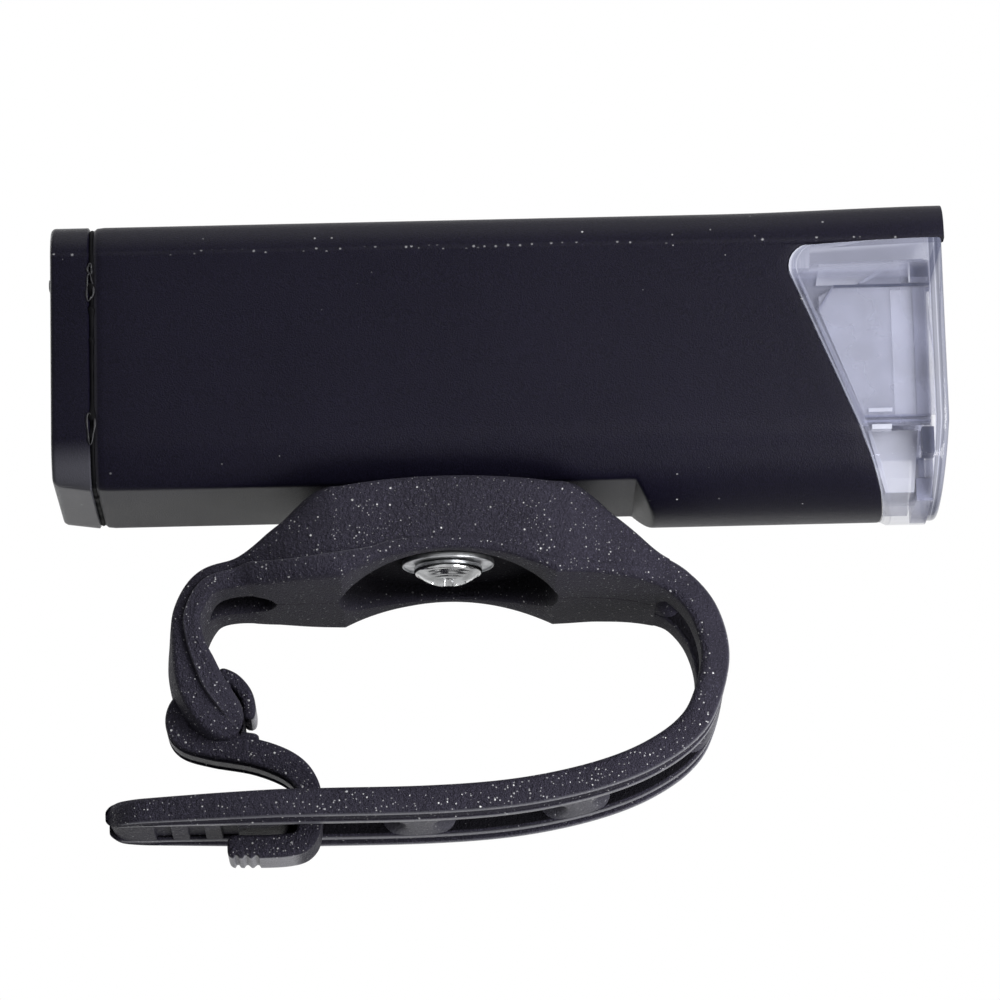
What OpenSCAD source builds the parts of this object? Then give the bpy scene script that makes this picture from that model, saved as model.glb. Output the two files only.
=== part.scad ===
// Bicycle headlight on a rubber handlebar strap.
// Frame: +X along the beam, +Z up, origin on the axis of the handlebar below the swivel screw.

/* [Body] */
// Screw axis to the tip of the visor
body_front = 50; // [47:0.5:56]
// Screw axis to the rear face of the housing
body_rear = 34.5; // [33:0.5:42]
// Width of the housing at its widest line
body_w = 22.2; // [21:0.2:28]
// Width of the housing at the top, before its corners are rounded
top_w = 20.4; // [19:0.2:27]
// Height from the widest line up to the top
upper_h = 22.4; // [22:0.2:28]
// Depth of the round belly below the widest line
belly_h = 7.6; // [6.6:0.2:9]
// Depth of the mounting flat below the widest line
flat_drop = 4.9; // [4:0.1:5.4]
// Radius of the top corners
top_r = 4; // [3:0.2:5]
// Wall of the housing
wall = 1.6; // [1.2:0.1:2]
// Screw axis to the step that ends the mounting flat
flat_front = 18.7; // [18.5:0.1:22]
// Forward rake of that step
step_rake = 2; // [1.5:0.1:3]

/* [Lens] */
// Top of the lens window below the top of the housing
window_drop = 4.4; // [4:0.1:5]
// Rise of the window's top edge towards the front
window_rise = 0.6; // [0:0.1:1]
// Upper rear corner of the window behind the visor tip
window_top_x = 16.7; // [15:0.1:18]
// Rear edge of the window at the widest line, behind the visor tip
window_mid_x = 9.5; // [8.6:0.1:11]
// Rear edge of the window at the belly, behind the visor tip
window_low_x = 6.6; // [5.6:0.1:8]
// Radius of the upper rear corner of the window
window_r = 2.3; // [1.5:0.1:3]
// Wall of the clear lens
lens_wall = 2.2; // [2:0.1:2.6]
// Thickness of the lens front
lens_front_t = 1.6; // [1.2:0.1:2.2]
// Depth of the lens lip inside the housing
lens_lip = 1.5; // [1:0.1:2]
// Thickness of the lens lip
lens_lip_t = 1.1; // [0.9:0.1:1.4]
// Start of the tab in front of the rear edge of the lens
lens_tab_x = 1.1; // [0.6:0.1:2]
// Fit between the lens lip and the housing
lens_fit = 0.15; // [0.1:0.05:0.25]
// Width of the tab under the lens
lens_tab_w = 9; // [6:0.5:12]
// Drop of the tab below the belly
lens_tab_h = 0.4; // [0.2:0.1:1.2]

/* [Optics] */
// Axis of the beam above the widest line
beam_h = 7.6; // [7:0.2:9]
// Height of the beam block
optic_h = 13.4; // [11:0.2:14]
// Width of the beam block
optic_w = 16; // [12:0.5:16.4]
// Length of the beam block along its top
optic_l = 10; // [8:0.2:11]
// Length of the slant at the rear of the block's top
optic_cut_l = 1.5; // [1:0.1:2]
// Height of that slant
optic_cut_h = 0.9; // [0.5:0.1:1.4]
// Setback of the bottom of the beam block from its top
optic_slope = 3.4; // [2.5:0.1:5]
// Large diameter of the collimator
collimator_d = 13; // [11:0.2:13.2]
// Small diameter of the collimator
collimator_small_d = 6.4; // [5.6:0.2:8]
// Emitter square
emitter_w = 3.5; // [3:0.1:4]
// Emitter height above its board
emitter_h = 1.2; // [0.8:0.1:1.6]
// Gap round the emitter
emitter_gap = 0.3; // [0.2:0.05:0.6]
// Thickness of the emitter board
emitter_board_t = 1.2; // [0.8:0.1:1.6]
// Side of the square emitter board
emitter_board_w = 15; // [12:0.5:16]
// Emitter behind the upper rear corner of the window
emitter_setback = 1.4; // [1:0.1:2]
// Thickness of the heat sink plate
sink_t = 1.6; // [1.2:0.1:2.4]

/* [Rear cap] */
// Length of the rear cap outside the housing
cap_l = 3.85; // [3.2:0.05:5]
// Chamfer round the rear edge of the cap
cap_edge = 0.7; // [0.4:0.1:1]
// Rise of the cap's underside towards the rear
cap_rise = 0.6; // [0.2:0.1:1]
// Thickness of the rubber seal in the seam
seal_t = 0.45; // [0.3:0.05:0.8]
// Depth of the seal below the outside
seal_inset = 0.35; // [0.2:0.05:0.6]
// Depth of the cap's spigot in the housing
spigot_l = 2.4; // [1.6:0.1:2.8]
// Wall of the spigot
spigot_t = 1.2; // [1:0.1:1.6]
// Fit of the spigot in the housing
spigot_fit = 0.15; // [0.1:0.05:0.3]
// Width of the port cover
port_w = 12.5; // [12:0.5:14]
// Height of the port cover
port_h = 6.4; // [6:0.2:7]
// Thickness of the port cover
port_t = 1; // [0.8:0.1:1.4]
// Height of the pull lip of the port cover
port_lip_h = 1; // [0.8:0.1:1.4]
// Depth of that lip
port_lip_t = 0.6; // [0.4:0.1:1]
// Gap round the port cover
port_gap = 0.25; // [0.15:0.05:0.4]

/* [Inside] */
// Diameter of the battery cell
cell_d = 14; // [12:0.5:14.5]
// Length of the battery cell
cell_l = 50; // [44:0.5:51]
// Height of the cell's button end
cell_button_h = 0.8; // [0.5:0.1:1.2]
// Gap round the cell in its tray
cell_gap = 0.3; // [0.2:0.05:0.5]
// Thickness of the tray below the cell
tray_floor = 0.8; // [0.6:0.1:1.2]
// Width of the tray
tray_w = 16.4; // [15.4:0.2:17]
// Thickness of the tray's end walls
tray_end = 2; // [1.8:0.1:2.4]
// Thickness of the control board
board_t = 1.2; // [0.8:0.1:1.6]
// Width of the control board
board_w = 15.5; // [14:0.5:16]
// Gap between the cell and the control board
board_gap = 0.9; // [0.6:0.1:1.2]
// Width of the charging socket
socket_w = 8.9; // [8:0.1:9]
// Height of the charging socket
socket_h = 3.2; // [2.8:0.1:3.4]
// Length of the charging socket
socket_l = 7; // [6:0.1:7.5]
// Shell of the charging socket
socket_shell = 0.4; // [0.3:0.05:0.5]
// Thickness of the socket's tongue
tongue_t = 0.7; // [0.6:0.1:0.9]
// Socket in front of the rear face of the housing
socket_inset = 0.2; // [0.1:0.1:0.6]
// Diameter of the board screws
board_screw_d = 1.2; // [1:0.1:1.4]
// Head diameter of the board screws
board_screw_head = 2.4; // [2:0.1:2.8]
// Head height of the board screws
board_screw_head_h = 0.9; // [0.6:0.1:1.2]
// Length of the board screws in the tray
board_screw_l = 4; // [3:0.2:5]
// Width of the battery tabs
tab_w = 5; // [3:0.5:6]
// Thickness of the battery tabs
tab_t = 0.3; // [0.2:0.05:0.35]

/* [Button] */
// Length of the power button
button_l = 13; // [10:0.5:16]
// Width of the power button
button_w = 8; // [6:0.5:9]
// Height of the button above the housing
button_proud = 0.7; // [0.4:0.1:1]
// Travel of the button
button_travel = 0.6; // [0.4:0.05:0.8]
// Gap round the button
button_gap = 0.25; // [0.2:0.05:0.4]
// Rim of the button under the housing
button_rim = 0.9; // [0.6:0.1:1.2]
// Thickness of that rim
button_rim_t = 0.6; // [0.4:0.05:0.8]
// Play above and below the button
button_play = 0.05; // [0.03:0.01:0.1]
// Place of the button along the beam
button_x = 6; // [2:0.5:10]
// Side of the push switch
switch_w = 5; // [4:0.1:6]
// Diameter of the charge light window
light_d = 2.4; // [2:0.1:3]
// Charge light behind the centre of the button
light_back = 11; // [10.5:0.5:14]

/* [Swivel] */
// Diameter of the handlebar at the nominal fit
bar_d = 22.2; // [21:0.1:24]
// Gap between the handlebar and the screw head
head_gap = 0.1; // [0.1:0.05:0.5]
// Diameter of the screw head
head_d = 6.8; // [6.4:0.1:7.4]
// Height of the screw head
head_h = 2; // [1.6:0.1:2.4]
// Straight edge of the screw head above its dome
head_edge = 0.6; // [0.4:0.1:1]
// Length of the cross recess
cross_l = 3.4; // [3:0.1:4]
// Width of the cross recess
cross_w = 0.9; // [0.7:0.1:1.2]
// Depth of the cross recess
cross_h = 1.1; // [0.8:0.1:1.4]
// Diameter of the screw
screw_d = 4; // [3.8:0.1:4.4]
// Diameter of the washer
washer_d = 9.2; // [8.8:0.1:9.6]
// Thickness of the washer
washer_t = 0.6; // [0.5:0.1:1]
// Outside diameter of the swivel bush
bush_d = 7.4; // [7:0.1:8]
// Length of the swivel bush
bush_l = 6; // [5.6:0.1:7]
// Running clearance of the screw and bush, on the radius
run_fit = 0.05; // [0.03:0.01:0.08]
// Gap between the strap and the faces above and below it
turn_gap = 0.2; // [0.1:0.05:0.3]
// Diameter of the brass insert
insert_d = 6; // [5.6:0.1:6.4]
// Length of the brass insert
insert_l = 4.6; // [4:0.1:5]
// Wall of the boss round the insert
boss_wall = 1.5; // [1.2:0.1:2]
// Depth of the insert above the mounting flat
insert_cover = 0.4; // [0.3:0.1:0.8]
// Thickness of the boss above the insert
boss_cap = 0.6; // [0.5:0.1:1]

/* [Strap] */
// Width of the saddle under the light
saddle_w = 26.4; // [24:0.2:30]
// Length of the top of the saddle
saddle_top_l = 27; // [24:0.5:29]
// Length of the foot of the saddle
saddle_foot_l = 38; // [35:0.5:39]
// Reach of the saddle's waist beyond its top
waist_l = 4.4; // [3.8:0.1:5]
// Height of the waist above the crown of the seat
waist_h = 2; // [1.5:0.1:2.5]
// Radius of the seat on the handlebar
seat_r = 22.5; // [20:0.5:26]
// Depth of the washer recess above the crown of the seat
recess_h = 1.5; // [1.2:0.1:2]
// Diameter of the recess round the washer
recess_d = 21.8; // [18:0.2:22.4]
// Foot of the saddle below the crown of the seat
foot_drop = 2.6; // [2:0.1:3]
// Middle of the arms above the foot of the saddle
root_h = 1.7; // [1.5:0.1:2]
// Width of the strap
strap_w = 18; // [16:0.5:20]
// Thickness of the strap
strap_t = 2.9; // [2.6:0.1:3.2]
// Screw axis to the middle of the strap at the bend
bend_x = 26; // [25:0.2:28]
// Middle of the lower run below the handlebar's axis
run_drop = 11.9; // [11.5:0.1:13]
// Screw axis to the tip of the strap
tail_tip = 34.2; // [31:0.2:37]
// Width of the strap's tip
tip_w = 12; // [9:0.5:15]
// Radius of the corners of the tip
tip_r = 4; // [2:0.2:4.4]
// Screw axis to where the strap starts to narrow
taper_x = 17; // [16:0.5:24]
// Width of the end of the rear arm
arm_tip_w = 12; // [10:0.5:15]
// Length of the slot in the rear arm
arm_slot_l = 6.5; // [5:0.5:8]
// Number of grip notches under the tip
grip_count = 3; // [2:1:4]
// Width of the grip notches
grip_w = 1.6; // [1:0.1:2]
// Reach of the grip notches across the strap
grip_l = 7.2; // [5:0.1:9]
// Distance from notch to notch
grip_step = 3.3; // [3:0.1:4]
// Depth of the grip notches
grip_h = 0.35; // [0.2:0.05:0.6]
// Tip of the strap to the first notch
grip_start = 4.7; // [4:0.1:6]
// Length of the slots
slot_l = 9.8; // [8:0.1:10.5]
// Distance from slot to slot
slot_pitch = 15.7; // [13.5:0.1:16]
// Depth of the channel between the rails
channel_h = 0.5; // [0.3:0.1:0.8]
// Width of the hook
hook_w = 6.6; // [5.6:0.1:7]
// Thickness of the hook
hook_t = 2.3; // [2:0.1:2.4]
// Screw axis to the shank of the hook
hook_x = 14.1; // [13.5:0.1:14.6]
// Gap between the hook and the strap
hook_gap = 0.3; // [0.2:0.05:0.4]
// Gap between the tab of the hook and the strap
hook_tab_gap = 0.6; // [0.4:0.1:1]
// Length of the tab of the hook
hook_tab_l = 8; // [6:0.5:9]

/* [Hidden] */
$fn = 64;
eps = 0.01;
arc_steps = 10;
curve_steps = 6;
past = 60;

// Levels
head_z = bar_d / 2 + head_gap;
washer_z = head_z + head_h;
seat_z = washer_z + washer_t;
flat_z = seat_z + bush_l;
crease_z = flat_z + flat_drop;
top_z = crease_z + upper_h;
belly_z = crease_z - belly_h;
crown_z = seat_z - recess_h;
foot_z = crown_z - foot_drop;
window_z = top_z - window_drop;
beam_z = crease_z + beam_h;
insert_z = flat_z + insert_cover;
boss_top = insert_z + insert_l + boss_cap;
cell_z = boss_top + tray_floor + cell_gap + cell_d / 2;
board_z = cell_z + cell_d / 2 + board_gap;
ceiling_z = top_z - wall;
root_z = foot_z + root_h;
run_z = -run_drop;
socket_z = board_z - socket_h / 2;

// Places along the beam
lens_back = body_front - lens_front_t;
optic_back = lens_back - optic_l;
sink_x = body_front - window_top_x - sink_t - emitter_board_t - emitter_h - emitter_setback;
emitter_board_x = sink_x + sink_t;
emitter_x = emitter_board_x + emitter_board_t;
tray_front = sink_x;
cell_front = tray_front - tray_end - tab_t;
cell_rear = cell_front - cell_l;
tray_rear = cell_rear - tab_t - tray_end;
seam_x = -body_rear;
cap_front = seam_x - seal_t;
cap_rear = cap_front - cap_l;
port_floor = cap_rear + port_t + port_gap;
socket_x = seam_x + socket_inset;
slot_w = hook_w + 2 * hook_gap;
bush_bore_d = screw_d + 2 * run_fit;
snug = 0.05;
slot_end_gap = 0.4;
slot_r = 0.8;

// Curves

// Arc of radius r that rounds the corner b between its neighbours a and c
function fillet(a, b, c, r) = let (
    u = (a - b) / norm(a - b),
    v = (c - b) / norm(c - b),
    half = acos(u * v) / 2,
    mid = b + (u + v) / norm(u + v) * r / sin(half),
    from = b + u * r / tan(half) - mid,
    to = b + v * r / tan(half) - mid,
    start = atan2(from[1], from[0]),
    raw = atan2(to[1], to[0]) - start,
    sweep = raw > 180 ? raw - 360 : raw < -180 ? raw + 360 : raw
) [for (i = [0 : arc_steps]) let (t = start + sweep * i / arc_steps) mid + r * [cos(t), sin(t)]];

// Outline whose corners are given as [x, y, radius]
function outline(corners) = let (n = len(corners)) [for (i = [0 : n - 1])
    let (
        a = corners[(i + n - 1) % n],
        b = corners[i],
        c = corners[(i + 1) % n]
    ) each (b[2] > 0 ? fillet([a[0], a[1]], [b[0], b[1]], [c[0], c[1]], b[2]) : [[b[0], b[1]]])];

// Smooth curve through the points of a path
function curve(p) = let (n = len(p)) [for (i = [0 : n - 2])
    let (a = p[max(i - 1, 0)], b = p[i], c = p[i + 1], d = p[min(i + 2, n - 1)])
    for (k = [0 : i == n - 2 ? curve_steps : curve_steps - 1])
    let (t = k / curve_steps)
    0.5 * (2 * b + (c - a) * t + (2 * a - 5 * b + 4 * c - d) * t * t + (3 * b - a - 3 * c + d) * t * t * t)];

function heading(p, i) = let (
    a = p[max(i - 1, 0)],
    b = p[min(i + 1, len(p) - 1)],
    d = [b[0] - a[0], b[1] - a[1]]
) d / norm(d);

// Point beside station i of a path, to the left of its heading
function beside(p, i, off) = let (h = heading(p, i)) [p[i][0] - h[1] * off, p[i][1] + h[0] * off];

// Outline of a band along stations from to to of a path of [x, z, thickness]
function band(p, from, to, grow = 0) = concat(
    [for (i = [from : to]) beside(p, i, p[i][2] / 2 + grow)],
    [for (i = [to : -1 : from]) beside(p, i, -p[i][2] / 2 - grow)]);

// Skin of a band: its outer h, with a little air above it
function skin(p, from, to, h) = concat(
    [for (i = [from : to]) beside(p, i, p[i][2] / 2 + h)],
    [for (i = [to : -1 : from]) beside(p, i, p[i][2] / 2 - h)]);

function run_lengths(p, i = 0, sum = 0) = i == len(p) - 1 ? [sum] :
    concat([sum], run_lengths(p, i + 1, sum + norm([p[i + 1][0] - p[i][0], p[i + 1][1] - p[i][1]])));

// Station nearest to a length along a path
function station(lengths, s) = max([for (i = [0 : len(lengths) - 1]) lengths[i] <= s ? i : 0]);

// Station nearest to a place x on the lower run
function run_station(p, x) = let (far = [for (q = p) q[1] < 0.5 * run_z ? abs(q[0] - x) : past])
    search(min(far), far)[0];

// Half section of the housing, from the belly or a floor up to the top, inset by a wall
function half_section(inset, floored) = let (
    a = body_w / 2 - inset,
    b = belly_h - inset,
    low = floored ? asin((flat_drop - inset) / b) : 90,
    side = top_w / 2 - inset,
    high = upper_h - inset,
    r = top_r - inset
) concat(
    floored ? [] : [[0, crease_z - b]],
    [for (i = [0 : 2 * arc_steps]) let (t = low * (1 - i / 2 / arc_steps))
        if (floored || i > 0) [a * cos(t), crease_z - b * sin(t)]],
    fillet([a, crease_z], [side, crease_z + high], [0, crease_z + high], r));

function section(inset, floored = false) = let (h = half_section(inset, floored), n = len(h)) concat(h,
    [for (i = [n - 1 : -1 : floored ? 0 : 1]) [-h[i][0], h[i][1]]]);

// Side view of the lens window, grown backwards and upwards
function window(grow = 0) = let (
    tip = body_front,
    top = [tip - window_top_x - grow, window_z + grow, window_r],
    mid = [tip - window_mid_x - grow, crease_z, 0],
    low = [tip - window_low_x - grow, belly_z, 0]
) outline([top, mid, low, [tip - window_low_x - grow, belly_z - past, 0], [tip + past, belly_z - past, 0],
    [tip + past, window_z + window_rise * (1 + past / window_top_x) + grow, 0]]);

// Height on the strap, from the lower run at 0 up to the root of the arms at 1
function rise(f) = run_z + f * (root_z - run_z);

// Middle line of the strap from the saddle round the bend to the tip, with its thickness
strap_path = curve([
    [bend_x - 10, rise(1.02), strap_t + 1.2],
    [bend_x - 6.2, rise(0.965), strap_t + 0.3],
    [bend_x - 3.2, rise(0.9), strap_t],
    [bend_x - 0.9, rise(0.77), strap_t],
    [bend_x, rise(0.585), strap_t],
    [bend_x - 1.2, rise(0.385), strap_t],
    [bend_x - 3.1, rise(0.27), strap_t],
    [bend_x - 6.4, rise(0.175), strap_t],
    [bend_x - 10.4, rise(0.105), strap_t],
    [bend_x - 15.6, rise(0.05), strap_t],
    [bend_x - 21.5, rise(0.015), strap_t],
    [bend_x - 29, rise(0), strap_t],
    [-13, rise(0), strap_t],
    [-23, rise(0), strap_t - 0.1],
    [-tail_tip, rise(-0.005), strap_t - 0.4]]);
bend_from = 4 * curve_steps;
bend_to = 5 * curve_steps;
strap_end = len(strap_path) - 1;
strap_lengths = run_lengths(strap_path);

// Middle line of the rear arm
arm_path = curve([
    [-16, rise(1.03), strap_t + 2.2],
    [-20.4, rise(0.995), strap_t + 0.2],
    [0.2 - bend_x + 1.9, rise(0.955), strap_t],
    [0.2 - bend_x, rise(0.82), strap_t],
    [0.3 - bend_x, rise(0.71), strap_t + 0.3],
    [0.8 - bend_x, rise(0.61), strap_t + 1.3],
    [1.8 - bend_x, rise(0.5), strap_t + 1.8],
    [3.7 - bend_x, rise(0.39), strap_t + 1.4],
    [5.1 - bend_x, rise(0.33), strap_t - 0.9]]);
arm_end = len(arm_path) - 1;

// Middle line of the hook: through the arm, down through the strap and back along it as a tab
tab_z = run_z - strap_t / 2 - hook_tab_gap - hook_t / 2;
hook_path = curve([
    [4.3 - bend_x, rise(0.545), hook_t],
    [1.6 - bend_x, rise(0.525), hook_t],
    [-0.5 - bend_x, rise(0.475), hook_t],
    [-1.1 - bend_x, rise(0.4), hook_t],
    [-0.3 - bend_x, rise(0.335), hook_t],
    [2.3 - bend_x, rise(0.297), hook_t],
    [6.6 - bend_x, rise(0.266), hook_t + 0.3],
    [-hook_x - 1.9, rise(0.203), hook_t + 0.3],
    [-hook_x - 0.2, rise(0.115), hook_t],
    [-hook_x, run_z, hook_t],
    [-hook_x - 0.5, tab_z + 0.8, hook_t],
    [-hook_x - 2.6, tab_z, hook_t],
    [-hook_x - 0.2 - hook_tab_l, tab_z, hook_t]]);
hook_end = len(hook_path) - 1;

// Anchor of the hook along the inside of the arm
anchor_t = 1.3;
anchor_path = curve([
    [3.4 - bend_x, rise(0.625), anchor_t],
    [4.7 - bend_x, rise(0.545), anchor_t],
    [5.6 - bend_x, rise(0.47), anchor_t],
    [6.05 - bend_x, rise(0.39), anchor_t]]);

// Solids that many pieces use

// Bar along the beam with a given section
module beam_bar(from, to, points) {
    translate([from, 0, 0])
        rotate([90, 0, 90])
        linear_extrude(to - from)
        polygon(points);
}

// Plate with a given side view, centred on the middle plane
module side_plate(w, points) {
    rotate([90, 0, 0])
        linear_extrude(w, center = true)
        polygon(points);
}

// Block centred on the middle plane
module mid_block(x, z, l, w, h) {
    translate([x, -w / 2, z]) cube([l, w, h]);
}

// Upright pill centred on the middle plane
module pill(x, z, l, w, h) {
    mid_block(x - l / 2 + w / 2, z, l - w, w, h);
    for (side = [-1, 1])
        translate([x + side * (l - w) / 2, 0, z]) cylinder(d = w, h = h);
}

// Slot with rounded corners across a band at a place, turned to its heading
module band_slot(place, turn, l, w, depth) {
    translate([place[0], 0, place[1]])
        rotate([0, -turn, 0])
        linear_extrude(depth, center = true)
        polygon(outline([for (c = [[-1, -1], [1, -1], [1, 1], [-1, 1]])
            [c[0] * l / 2, c[1] * w / 2, slot_r]]));
}

// Housing and its closures

module housing() {
    step = [[-past, flat_z], [flat_front, flat_z], [flat_front + step_rake, belly_z],
        [flat_front + step_rake, belly_z - 1], [-past, belly_z - 1]];
    cavity_front = body_front - window_top_x;
    color([0.13, 0.13, 0.14])
    difference() {
        union() {
            difference() {
                beam_bar(seam_x, body_front, section(0));
                side_plate(past, step);
                // Inside of the tube over the mounting flat
                beam_bar(seam_x - 1, flat_front - wall, section(wall, true));
                // Inside of the front, where the belly is full
                difference() {
                    beam_bar(flat_front - wall - eps, body_front + 1, section(wall));
                    side_plate(past, [[-past, flat_z + wall], [flat_front - wall, flat_z + wall],
                        [flat_front + step_rake + wall, belly_z - 1], [-past, belly_z - 1]]);
                    // Solid visor over the lens
                    mid_block(cavity_front + lens_lip + wall, window_z, past, past, past);
                }
                side_plate(past, window());
            }
            translate([0, 0, flat_z + eps])
                cylinder(d = insert_d + 2 * boss_wall, h = boss_top - flat_z - eps);
        }
        translate([0, 0, insert_z]) cylinder(d = insert_d + 2 * snug, h = insert_l);
        translate([0, 0, flat_z - 1]) cylinder(d = bush_bore_d, h = boss_top - flat_z);
        pill(button_x, ceiling_z - 1, button_l + 2 * button_gap, button_w + 2 * button_gap, wall + 2);
        translate([button_x - light_back, 0, ceiling_z - 1]) cylinder(d = light_d + 2 * snug, h = wall + 2);
    }
}

module front_lens() {
    tab_x = body_front - window_low_x + lens_tab_x;
    color([0.78, 0.79, 0.86, 0.5])
    union() {
        intersection() {
            side_plate(past, window());
            difference() {
                beam_bar(seam_x, body_front, section(0));
                beam_bar(seam_x - 1, lens_back, section(lens_wall));
            }
        }
        // Roof of the lens under the visor
        intersection() {
            side_plate(past, window());
            beam_bar(body_front - window_mid_x, body_front, section(0));
            mid_block(-past, window_z - lens_wall, 3 * past, past, past);
        }
        // Lip inside the housing
        intersection() {
            difference() {
                side_plate(past, window(lens_lip));
                side_plate(past, window(-lens_lip));
            }
            mid_block(-past, belly_z, 3 * past, past, window_z - belly_z - window_r);
            difference() {
                beam_bar(seam_x, body_front - lens_front_t, section(wall + lens_fit));
                beam_bar(seam_x - 1, body_front, section(wall + lens_fit + lens_lip_t));
            }
        }
        // Tab under the belly
        side_plate(lens_tab_w, [[tab_x + lens_tab_h, belly_z - lens_tab_h], [lens_back, belly_z - lens_tab_h],
            [lens_back, belly_z + lens_wall / 2], [tab_x, belly_z + lens_wall / 2], [tab_x, belly_z]]);
    }
}

module rear_cap() {
    port_z = socket_z - port_h / 2;
    color([0.11, 0.11, 0.12])
    union() {
        difference() {
            intersection() {
                beam_bar(cap_rear, cap_front, section(0, true));
                // Chamfers seen from the side and from above
                side_plate(past, [[cap_rear, flat_z + cap_rise + cap_edge],
                    [cap_rear + cap_edge, flat_z + cap_rise], [cap_front, flat_z], [cap_front, top_z],
                    [cap_rear + cap_edge, top_z], [cap_rear, top_z - cap_edge]]);
                linear_extrude(past + top_z)
                    polygon([[cap_rear, cap_edge - body_w / 2], [cap_rear + cap_edge, -body_w / 2],
                        [cap_front, -body_w / 2], [cap_front, body_w / 2], [cap_rear + cap_edge, body_w / 2],
                        [cap_rear, body_w / 2 - cap_edge]]);
            }
            mid_block(cap_rear - 1, port_z - port_gap, port_floor - cap_rear + 1,
                port_w + 2 * port_gap, port_h + 2 * port_gap);
            mid_block(cap_rear - 1, socket_z - socket_h / 2, past, socket_w, socket_h);
        }
        difference() {
            beam_bar(cap_front - eps, seam_x + spigot_l, section(wall + spigot_fit, true));
            beam_bar(cap_front - 1, seam_x + spigot_l + 1, section(wall + spigot_fit + spigot_t, true));
            mid_block(cap_front - eps, socket_z - socket_h / 2 - spigot_fit, past,
                board_w + 4 * spigot_fit, past);
        }
    }
}

module rear_seal() {
    color([0.05, 0.05, 0.05])
    difference() {
        beam_bar(cap_front, seam_x, section(seal_inset, true));
        beam_bar(cap_front - 1, seam_x + 1, section(wall + spigot_fit, true));
    }
}

// Soft flap over the charging socket, which folds out about its lower edge
module port_cover() {
    color([0.16, 0.16, 0.17])
    union() {
        mid_block(cap_rear, socket_z - port_h / 2, port_t, port_w, port_h);
        mid_block(cap_rear - port_lip_t, socket_z + port_h / 2 - port_lip_h,
            port_lip_t, port_w / 2, port_lip_h);
    }
}

// Button and charge light

module power_button() {
    rim_top = ceiling_z - button_play;
    color([0.3, 0.3, 0.32])
    union() {
        pill(button_x, rim_top - eps, button_l, button_w, top_z + button_proud - rim_top + eps);
        pill(button_x, rim_top - button_rim_t, button_l + 2 * button_rim,
            button_w + 2 * button_rim, button_rim_t);
    }
}

module push_switch() {
    height = ceiling_z - 2 * button_play - button_rim_t - button_travel - board_z - board_t;
    color([0.75, 0.75, 0.75])
    mid_block(button_x - switch_w / 2, board_z + board_t, switch_w, switch_w, height);
}

// Light pipe from the board to the top
module charge_light() {
    color([0.8, 0.85, 0.8, 0.7])
    translate([button_x - light_back, 0, board_z + board_t])
        cylinder(d = light_d, h = top_z - board_z - board_t);
}

// Optics

module beam_optic() {
    low = beam_z - optic_h / 2;
    high = beam_z + optic_h / 2;
    color([0.85, 0.86, 0.92, 0.6])
    difference() {
        union() {
            side_plate(optic_w, outline([[lens_back, low, 0], [lens_back, high, 0],
                [optic_back + optic_cut_l, high, 0], [optic_back, high - optic_cut_h, 0],
                [optic_back + optic_slope, low, 0]]));
            translate([emitter_x + emitter_h / 2, 0, beam_z])
                rotate([0, 90, 0])
                cylinder(d1 = collimator_small_d, d2 = collimator_d,
                    h = lens_back - 1 - emitter_x - emitter_h / 2);
        }
        translate([emitter_x, 0, beam_z])
            rotate([0, 90, 0])
            cylinder(d = emitter_w * sqrt(2) + 2 * emitter_gap, h = emitter_h + emitter_gap);
    }
}

module led_emitter() {
    color([0.95, 0.9, 0.6])
    union() {
        mid_block(emitter_x, beam_z - emitter_w / 2, emitter_h / 2, emitter_w, emitter_w);
        translate([emitter_x + emitter_h / 2 - eps, 0, beam_z])
            rotate([0, 90, 0])
            cylinder(d = emitter_w - 0.4, h = emitter_h / 2 + eps);
    }
}

module led_board() {
    color([0.9, 0.9, 0.88])
    mid_block(emitter_board_x, beam_z - emitter_board_w / 2, emitter_board_t,
        emitter_board_w, emitter_board_w);
}

module heat_sink() {
    color([0.75, 0.76, 0.78])
    intersection() {
        mid_block(sink_x, beam_z - emitter_board_w / 2, sink_t, past, emitter_board_w);
        beam_bar(sink_x - 1, sink_x + sink_t + 1, section(wall + spigot_fit));
    }
}

// Power

module battery_cell() {
    color([0.25, 0.45, 0.7])
    translate([cell_rear, 0, cell_z])
        rotate([0, 90, 0])
        union() {
            cylinder(d = cell_d, h = cell_l - cell_button_h);
            cylinder(d = cell_d / 3, h = cell_l);
        }
}

// Nickel strips from the ends of the cell up to the board
module battery_tabs() {
    color([0.8, 0.8, 0.76])
    for (x = [cell_rear - tab_t, cell_front])
        mid_block(x, cell_z - tab_w / 2, tab_t, tab_w, board_z - cell_z + tab_w / 2);
}

// Cradle with end walls that carry the board
module battery_tray() {
    color([0.9, 0.9, 0.9])
    difference() {
        mid_block(tray_rear, boss_top, tray_front - tray_rear, tray_w, board_z - boss_top);
        translate([cell_rear - tab_t, 0, cell_z])
            rotate([0, 90, 0])
            cylinder(d = cell_d + 2 * cell_gap, h = cell_l + 2 * tab_t);
        mid_block(cell_rear - tab_t, cell_z, cell_l + 2 * tab_t, past, past);
        for (x = board_screw_places())
            translate([x, 0, board_z - board_screw_l]) cylinder(d = board_screw_d + 2 * snug, h = past);
    }
}

function board_screw_places() = [tray_rear + tray_end / 2, tray_front - tray_end / 2];

module control_board() {
    color([0.1, 0.35, 0.2])
    difference() {
        mid_block(socket_x, board_z, tray_front - socket_x, board_w, board_t);
        for (x = board_screw_places())
            translate([x, 0, board_z - 1]) cylinder(d = board_screw_d + 2 * snug, h = past);
    }
}

module board_screws() {
    color([0.7, 0.7, 0.72])
    for (x = board_screw_places())
        translate([x, 0, board_z - board_screw_l])
            union() {
                cylinder(d = board_screw_d, h = board_screw_l + board_t);
                translate([0, 0, board_screw_l + board_t])
                    cylinder(d = board_screw_head, h = board_screw_head_h);
            }
}

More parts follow.
